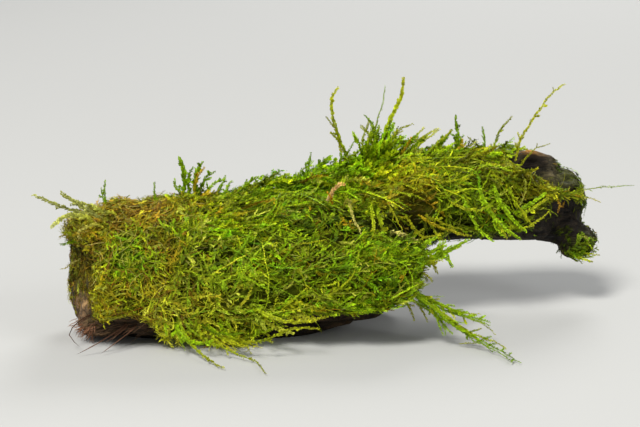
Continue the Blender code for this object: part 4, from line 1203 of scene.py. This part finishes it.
def grow(count, weight, length, start, end, release=(0.0, 0.0), spread=1.0, rise=0.0, lean=(0.0, 0.0, 0.0),
         steps=6, wander=0.12, curl=0.7, drift=(0.0, 0.0, 0.0), shade=1.0, dead=0.08, radius=(0.12, 0.19),
         leaf=(0.98, 0.52), leaves=36, folded=False, fan=0.58, roll=0.9, branches=2, branch_length=3.4,
         crossing=0.05):
    """Adds one kind of shoot: count of them, spread over the faces of the guide by weight.

    Pairs are the least and the most that it varies between. start and end are how high its root and tip are
    over the guide, and release is how far it leaves that surface. leaf is a leaf's length and width.
    spread widens its headings, rise turns them off the surface, and lean turns them in a fixed direction.
    crossing is the share of those over a gap that stay.
    """
    roots, normals = scatter(count, weight)
    headings = unit(headings_at(roots, spread) + normals * rise + np.array(lean))
    left = smooth_step(-48.0, -66.0, roots[:, 0])
    tangled = 1.0 + 1.8 * left
    reach = varied(length, count) * (1.0 - 0.25 * (tangled > 1.5)) * (1.0 - 0.45 * on_foot(roots))
    lines, ups = creep(
        roots, headings, reach, varied(start, count), varied(end, count) + 0.8 * clumps(roots), steps,
        wander * tangled, rng.normal(0.0, curl, count) * tangled, varied(release, count), drift,
    )
    stay = rng.random(count) > (1.0 - crossing) * thinning(lines).max(axis=1) ** 1.15
    roots, left, lines, ups, count = roots[stay], left[stay], lines[stay], ups[stay], int(stay.sum())
    root, tip = shoot_colours(roots, shade, dead)
    size = np.exp(rng.normal(0.0, 0.22, count)) * (1.0 - 0.28 * left)
    look = {
        "radius": varied(radius, count),
        "leaves": leaves,
        "folded": folded,
        "leaf_length": leaf[0] * size,
        "leaf_width": leaf[1] * size,
        "fan": fan,
        "tilt": 0.5,
        "first_leaf": 0.05,
        "roll": rng.normal(0.0, roll, count),
        "colour_root": root,
        "colour_tip": tip,
    }
    populations.append((lines, ups, look))
    if branches:
        populations.append(side_shoots(lines, ups, look, branches, branch_length, max(4, leaves // 4)))


def belt(low, high, edge, value):
    """1 between low and high, fading over the edge's width on both sides."""
    return smooth_step(low - edge, low, value) * smooth_step(high + edge, high, value)


def spots(*places):
    """Places on the guide, each with x, y, z, a radius and a weight, as one value for each of its faces."""
    return sum(weight * nearness(face_middle, x, y, z, radius) for x, y, z, radius, weight in places)


front = smooth_step(0.35, -0.25, face_normal[:, 1])
top = smooth_step(0.25, 0.8, face_normal[:, 2])
bare = 1.0 - face_moss
rim = face_moss * bare * 4.0
present = 1.0 - thinning(face_middle)
dense = (0.7 + 0.45 * np.clip(clumps(face_middle), -1.0, 1.0)) * present
matted = smooth_step(-46.0, -66.0, face_x)

# A deep layer that fills the gaps, kept dim (shade 0.58) as painted shade deep in the moss
grow(
    1250, face_moss**2 * (0.4 + 0.6 * present) * (1.0 + 1.2 * matted), (9, 15), (-3.0, -2.0), (-2.2, -0.8),
    spread=1.5, wander=0.14, shade=0.58, leaf=(1.1, 0.6), leaves=22, steps=5, branches=1,
)
# The matted carpet
grow(
    3850, face_moss**1.5 * (0.50 + 0.60 * front) * dense * (1.0 + 0.8 * matted), (9, 18), (-2.4, -1.0),
    (-1.6, 0.6), release=(0.0, 0.25),
)
# Shoots that lift off the mat, mostly where the crest is shaggy
shaggy = 0.12 + belt(-60.0, -44.0, 5.0, face_x) + belt(8.0, 30.0, 5.0, face_x)
grow(
    780, face_moss**2 * (0.3 + 1.1 * top) * present * shaggy, (5, 12), (-2.0, -1.0), (0.8, 3.2),
    release=(0.2, 0.8), spread=0.9, rise=0.4, wander=0.08, branches=3,
)
# Long runners that cross the others
long_runs = smooth_step(-90.0, -50.0, face_x) * (1.0 - nearness(face_middle, 42, -28, 30, 18, 4))
grow(
    320, face_moss**2 * (0.35 + 0.8 * front) * present * long_runs, (18, 36), (-1.2, 0.2), (0.4, 1.9),
    release=(0.0, 0.2), steps=11, wander=0.09, curl=0.8, shade=1.35, dead=0.05, leaf=(0.85, 0.36), leaves=60,
    fan=0.5, branch_length=4.0, crossing=0.3,
)
# Ferny shoots along the middle of the crest, which arch over to the right
crest = belt(-40.0, 10.0, 6.0, face_x) * belt(0.0, 26.0, 5.0, face_y) * top
grow(
    110, face_moss * crest, (10, 17), (-1.0, 0.0), (6.0, 11.0), release=(0.9, 1.0), spread=0.6, rise=1.6,
    drift=(1.0, 0.0, -0.5), steps=8, shade=1.25, leaf=(1.3, 0.66), folded=True, leaves=32, fan=0.75,
    branches=8, branch_length=3.8,
)
# The dense tuft that stands on the branch's crest
tuft = belt(14.0, 25.0, 4.0, face_x) * belt(10.0, 34.0, 5.0, face_y) * top
grow(
    150, face_moss * tuft, (6, 11), (-1.0, 0.0), (2.5, 5.5), release=(0.9, 1.0), spread=0.7, rise=1.0,
    lean=(0.35, 0.0, 0.35), shade=1.3, leaf=(1.30, 0.72), folded=True, leaves=26, branches=4,
    branch_length=3.6,
)
# Longer ones that stand out of it
spikes = belt(17.0, 25.0, 3.0, face_x) * belt(16.0, 32.0, 5.0, face_y) * top
grow(
    44, face_moss * spikes, (13, 24), (-1.0, 0.0), (8.0, 14.0), release=(0.95, 1.0), spread=0.6, rise=1.1,
    lean=(0.35, 0.0, 0.55), shade=1.4, leaf=(1.45, 0.85), folded=True, leaves=52, branches=5,
    branch_length=4.2,
)
# A few that slant up from the crest to the right of it
slant = belt(38.0, 88.0, 6.0, face_x) * belt(18.0, 42.0, 5.0, face_y) * top
grow(
    64, face_moss * slant, (7, 15), (-2.0, -1.0), (0.3, 3.6), release=(0.8, 1.0), spread=0.8, rise=0.8,
    lean=(0.45, 0.0, 0.25), shade=1.3, leaf=(1.35, 0.75), folded=True, leaves=32, branches=3,
)
# The fringe that trails from the lower edge of the trunk's moss
faint = 1e-6 * face_moss
fringe = rim * front * smooth_step(34.0, 24.0, face_z)
grow(
    110, fringe * belt(-66.0, -38.0, 5.0, face_x) + faint, (7, 17), (-1.4, -0.4), (0.4, 2.6),
    release=(0.6, 1.0), spread=0.9, lean=(0.45, -0.30, -0.30), drift=(0.35, 0.0, -0.10), shade=1.3,
    dead=0.03, crossing=0.5,
)
# Feathery sprays that arch out of it to the right
grow(
    30, fringe * belt(-64.0, -6.0, 5.0, face_x) + faint, (11, 20), (-1.0, 0.0), (2.0, 5.0),
    release=(0.8, 1.0), spread=0.6, lean=(0.9, -0.5, -0.45), drift=(0.3, 0.0, 0.35), steps=8, shade=1.7,
    dead=0.0, leaf=(1.15, 0.46), folded=True, leaves=34, branches=5, branch_length=4.5, crossing=1.0,
)
# A shorter fringe further right
grow(
    240, fringe * belt(-34.0, 36.0, 5.0, face_x) + faint, (4, 9), (-2.0, -1.0), (-0.6, 1.0),
    release=(0.3, 0.9), spread=0.9, lean=(0.50, -0.35, -0.10), drift=(0.25, 0.0, -0.1), dead=0.05, leaves=24,
    crossing=0.5,
)
# And one on the lower edge of the back branch's moss
hanging = rim * front * belt(42.0, 92.0, 5.0, face_x) * belt(26.0, 52.0, 5.0, face_z)
grow(
    150, hanging + faint, (4, 8), (-2.0, -1.0), (-0.4, 1.2), release=(0.3, 0.9), spread=0.9,
    lean=(0.15, -0.40, -0.30), drift=(0.1, 0.0, -0.15), dead=0.05, leaves=24, crossing=0.4,
)
# Ragged tufts round the front branch's blunt tip, and along its upper edge across the dark hollow
blunt = spots((43, -24, 38, 8, 1.0), (38, -29, 27, 8, 1.0))
grow(
    150, face_moss * blunt, (4, 9), (-1.6, -0.6), (0.8, 3.0), release=(0.5, 1.0), spread=0.9, rise=0.5,
    lean=(0.9, -0.1, 0.45), dead=0.05, leaves=22, crossing=1.0,
)
lip = spots((14, -26, 47, 5, 1.0), (26, -27, 45, 6, 1.0), (37, -25, 43, 6, 1.0))
grow(
    80, face_moss * lip, (4, 9), (-1.6, -0.6), (1.0, 3.5), release=(0.5, 1.0), spread=1.3, rise=0.8,
    lean=(0.3, 0.2, 0.4), shade=0.9, dead=0.05, leaves=22, branches=1, radius=(0.10, 0.15), crossing=0.25,
)
# The narrow band of moss that lies along the back branch's far shoulder
shoulder = spots((100, 19, 55, 7, 1.0), (108, 25, 54, 6, 1.0), (116, 32, 52, 6, 1.0))
grow(
    170, face_moss * shoulder, (4, 9), (-1.4, -0.6), (-0.2, 1.0), release=(0.0, 0.3), spread=0.5,
    lean=(1.0, 0.6, -0.05), shade=1.35, dead=0.06, leaves=20, branches=1, crossing=0.5,
)
# Sparse fuzz on the end of that branch, where painted shade darkens the wood: low on its face, dimmed to
# match (shade 0.45), round its edge and over its hump
low_face = spots((107, 22, 32, 8, 1.0), (99, 16, 34, 7, 0.6))
not_under = smooth_step(-0.5, -0.1, face_normal[:, 2])
grow(
    110, bare * low_face * front * not_under, (2.5, 5.5), (0.0, 0.6), (0.3, 1.4), release=(0.1, 0.6),
    spread=1.5, steps=5, shade=0.45, leaves=14, branches=1, branch_length=2.0, leaf=(0.85, 0.36),
    crossing=0.0,
)
edge = spots((121, 36, 43, 5, 1.0), (125, 38, 34, 4, 1.0), (108, 36, 65, 5, 0.7), (116, 37, 57, 5, 0.5))
grow(
    90, bare * edge, (1.5, 4.0), (0.0, 0.4), (0.2, 1.0), release=(0.1, 0.7), spread=1.5, steps=5, shade=0.8,
    leaves=10, branches=0, leaf=(0.8, 0.34), crossing=0.4,
)
# Short fuzz on the broken left end
end_face = smooth_step(-90.0, -96.0, face_x) * smooth_step(0.3, 0.7, -face_normal[:, 0])
grow(
    1100, bare * end_face * (0.25 + smooth_step(6.0, 24.0, face_z)), (4, 9), (0.0, 0.8), (0.4, 1.8),
    release=(0.0, 0.3), spread=1.6, lean=(0.0, 0.0, -0.7), steps=4, shade=0.55, dead=0.15, leaves=14,
    branches=0, leaf=(0.95, 0.38),
)
# Shoots that stick out past the left edge
left_edge = smooth_step(-92.0, -98.0, face_x) * smooth_step(12.0, 30.0, face_z) * front
grow(
    100, face_moss * left_edge, (4, 8), (-0.8, 0.0), (1.0, 3.0), release=(0.5, 1.0), spread=0.6, rise=0.3,
    lean=(-1.4, 0.0, 0.1), leaf=(1.1, 0.44), leaves=16, shade=0.9,
)
# Short shoots low in the gaps on the log's front, dimmed by the gaps' painted shade
sunken = thinning(face_middle) * belt(-96.0, 26.0, 4.0, face_x) * smooth_step(11.0, 16.0, face_z)
grow(
    190, face_moss * sunken * smooth_step(-16.0, -22.0, face_y), (4, 8), (-0.8, 0.0), (-0.2, 0.8),
    spread=1.6, shade=1.3, dead=0.10, leaves=24, crossing=1.0,
)

# The pieces that the shoots go to, by where their roots are along x
REGIONS = {
    "moss_shoots_left": (-1000.0, -66.0),
    "moss_shoots_left_middle": (-66.0, -36.0),
    "moss_shoots_middle": (-36.0, -6.0),
    "moss_shoots_fork": (-6.0, 24.0),
    "moss_shoots_right_middle": (24.0, 54.0),
    "moss_shoots_right": (54.0, 1000.0),
}


def cut_look(look, keep):
    return {key: value[keep] if isinstance(value, np.ndarray) else value for key, value in look.items()}


def build_shoots():
    material = moss_material("moss_leaf", 0.44, 420.0, 0.25)
    for region, (low, high) in REGIONS.items():
        batches = []
        for lines, ups, look in populations:
            keep = (lines[:, 0, 0] >= low) & (lines[:, 0, 0] < high)
            if keep.any():
                batches.append(leafy(lines[keep], ups[keep], cut_look(look, keep)))
        assemble(region, batches, material)


build_shoots()


# Long strands that stand or trail clear of the mat

LEAF_SPACING = 0.27
ROOT_DEPTH = 2.0  # how far a strand or a splinter starts under the surface that it stands on
FROM_FRONT = np.array((0.0, 1.0, 0.25))  # the strands spread their leaves across this direction


def strand_batches(route, build, root_colour, tip_colour, twigs=0, twig_length=0.0):
    """One leafy strand along a route from root to tip, with its twigs."""
    length = np.linalg.norm(np.diff(route, axis=0), axis=1).sum()
    line = evenly(route, max(6, int(length / 2.0)))[None]
    line[:, 1:] += rng.normal(0.0, 0.16, line[:, 1:].shape)
    ahead, up, _ = directions(line, FROM_FRONT)
    radius, leaf_length, leaf_width = build
    look = {
        "radius": np.array([radius]),
        "leaves": int(length / LEAF_SPACING),
        "folded": True,
        "leaf_length": np.array([leaf_length]),
        "leaf_width": np.array([leaf_width]),
        "fan": 0.56,
        "tilt": 0.6,
        "first_leaf": 0.02,
        "roll": np.array([rng.normal(0.5 * math.pi, 0.4)]),
        "colour_root": np.array([root_colour]),
        "colour_tip": np.array([tip_colour]),
    }
    batches = [leafy(line, up, look)]
    if twigs:
        leaves = max(6, int(twig_length / LEAF_SPACING))
        batches.append(leafy(*side_shoots(line, np.cross(ahead, up), look, twigs, twig_length, leaves)))
    return batches


def rooted(points, ground, steps):
    """A smooth route from inside the ground out to the tip, which is the first of the points."""
    spot, up = ground.nearest(np.array(points[-1], float)[None])
    return smooth_route([*points, tuple(spot[0] - up[0] * ROOT_DEPTH)], steps)[::-1]


def build_strands():
    material = moss_material("strand_leaf", 0.42, 420.0, 0.25)
    batches = []
    for points, *look in [*STRANDS.values(), *SLIGHT_STRANDS]:
        batches += strand_batches(rooted(points, guide, 12), *look)
    assemble("long_strands", batches, material, STRANDS)


build_strands()


# Bare, dead fibres among the shoots

FIBRE_COUNT = 950
FIBRE_COLOURS = np.array([PALE, GOLD, BROWN, CREAM, RUST])
FIBRE_SHARES = (0.34, 0.56, 0.72, 0.96)  # where the colours follow each other on a scale from 0 to 1


def build_fibres():
    left = smooth_step(-42.0, -74.0, face_x)
    roots, normals = scatter(FIBRE_COUNT, face_moss * (0.2 + 1.5 * left + 1.2 * left * top) * present)
    count = len(roots)
    headings = unit(headings_at(roots, 1.5) + normals * rng.uniform(0.0, 0.7, (count, 1)))
    lines, _ = creep(
        roots, headings, varied((4, 12), count), varied((-1.4, -0.2), count), varied((0.2, 2.0), count), 7,
        np.full(count, 0.24), rng.normal(0.0, 1.3, count), varied((0.1, 0.5), count), (0.0, 0.0, 0.0),
    )
    picked = np.searchsorted(FIBRE_SHARES, rng.random(count))
    picked[(picked == 2) & (roots[:, 0] > -50.0)] = 1  # the brown ones lie on the left only
    colours = FIBRE_COLOURS[picked] * rng.uniform(0.5, 1.2, (count, 1))
    batch = tubes(lines, varied((0.08, 0.14), count), colours)
    assemble("dead_fibres", [batch], moss_material("dry_fibre", 0.5, 600.0, 0.2))


build_fibres()


# Splinters and rootlets at the lower left corner

SPLINTER_COLOUR = np.array((0.11, 0.052, 0.028))
CORE_RADIUS = 0.34
STRIP_RADIUS = 0.20
STRIPS = 4  # thinner strips of bark along each splinter's core
BIT_STEPS = 5
# Rootlets and slivers on the wood: how many, the box that their roots are in, how much they point away from
# it and lean, how high over it they start, their least and most length, and their colour
BITS = (
    (90, ((-105, -96), (-42, -12), (2, 8)), 0.5, (-0.5, -0.25, -0.6), 1.5, (3.5, 7), (0.27, 0.13, 0.07)),
    (70, ((-90, -66), (-46, -34), (2, 12)), 0.12, (-1.1, -0.3, -0.12), -0.3, (5, 15), (0.1, 0.058, 0.033)),
)


def build_splinters():
    batches = []
    for points in SPLINTERS.values():
        route = evenly(rooted(points, wood_ground, 10), 9)
        for strip in range(STRIPS + 1):
            drift = np.cumsum(rng.normal(0.0, 0.15, route.shape), axis=0)
            line = evenly((route + drift + rng.normal(0.0, 0.5, 3))[:rng.integers(4, 7)], 9)
            line = line if strip else route
            radius = np.array([STRIP_RADIUS if strip else CORE_RADIUS])
            batches.append(tubes(line[None], radius, (SPLINTER_COLOUR * rng.uniform(0.5, 1.5))[None]))
    for count, box, outward, lean, lift, length, colour in BITS:
        start = np.stack([varied(span, count) for span in box], axis=1)
        spot, up = wood_ground.nearest(start)
        going = unit(up * outward + rng.normal(0.0, 0.5 * outward + 0.1, (count, 3)) + np.array(lean))
        stride = (varied(length, count) / BIT_STEPS)[:, None]
        lines = [spot + up * lift]
        for _ in range(BIT_STEPS):
            going = unit(going + rng.normal(0.0, 0.3 * outward + 0.06, (count, 3)))
            lines.append(lines[-1] + going * stride)
        colours = np.array(colour) * rng.uniform(0.4, 1.5, (count, 1))
        batches.append(tubes(np.stack(lines, axis=1), varied((0.13, 0.24), count), colours))
    material = moss_material("bark_fibre_red", 0.6, 900.0, 0.4)
    assemble("bark_splinters", batches, material, SPLINTERS)


build_splinters()


# Floor, light and camera

FLOOR_COLOUR = (0.50, 0.50, 0.485, 1.0)
SKY_COLOUR = (0.95, 0.97, 1.0, 1.0)
SKY_STRENGTH = 0.30
# Area lights: name, place, where they point, width, power and colour
LIGHTS = [
    ("key", (-0.9, -1.5, 2.4), (0.0, 0.0, 0.03), 1.0, 95.0, (1.0, 0.985, 0.95)),
    ("fill", (1.8, -1.2, 1.2), (0.0, 0.0, 0.04), 1.2, 18.0, (0.96, 0.98, 1.0)),
    ("back", (0.5, 2.0, 1.6), (0.0, 0.0, 0.04), 1.2, 30.0, (1.0, 1.0, 1.0)),
]


def area_light(name, location, target, size, power, colour):
    light = bpy.data.lights.new(name, "AREA")
    light.shape = "DISK"
    light.size = size
    light.energy = power
    light.color = colour
    lamp = bpy.data.objects.new(name, light)
    lamp.location = location
    lamp.rotation_euler = (Vector(target) - Vector(location)).to_track_quat("-Z", "Y").to_euler()
    bpy.context.scene.collection.objects.link(lamp)


def build_stage():
    bpy.ops.mesh.primitive_plane_add(size=12.0, location=(0.0, 0.0, 0.0))
    floor = bpy.context.object
    floor.name = "floor"
    material, _, shader = new_material("pale_floor", 0.9)
    shader.inputs["Base Color"].default_value = FLOOR_COLOUR
    shader.inputs["Specular IOR Level"].default_value = 0.1
    floor.data.materials.append(material)

    world = bpy.data.worlds.new("studio")
    world.use_nodes = True
    background = world.node_tree.nodes["Background"]
    background.inputs["Color"].default_value = SKY_COLOUR
    background.inputs["Strength"].default_value = SKY_STRENGTH
    bpy.context.scene.world = world

    for light in LIGHTS:
        area_light(*light)


def build_camera():
    camera = bpy.data.cameras.new("camera")
    camera.sensor_width = CAMERA_SENSOR
    camera.lens = CAMERA_LENS
    camera.clip_start, camera.clip_end = 0.01, 20.0
    holder = bpy.data.objects.new("camera", camera)
    back = Vector((0.0, -math.cos(CAMERA_ELEVATION), math.sin(CAMERA_ELEVATION)))
    holder.location = CAMERA_TARGET + back * CAMERA_DISTANCE
    holder.rotation_euler = (-back).to_track_quat("-Z", "Y").to_euler()
    bpy.context.scene.collection.objects.link(holder)
    bpy.context.scene.camera = holder
    bpy.context.scene.view_settings.view_transform = "Standard"


build_stage()
build_camera()
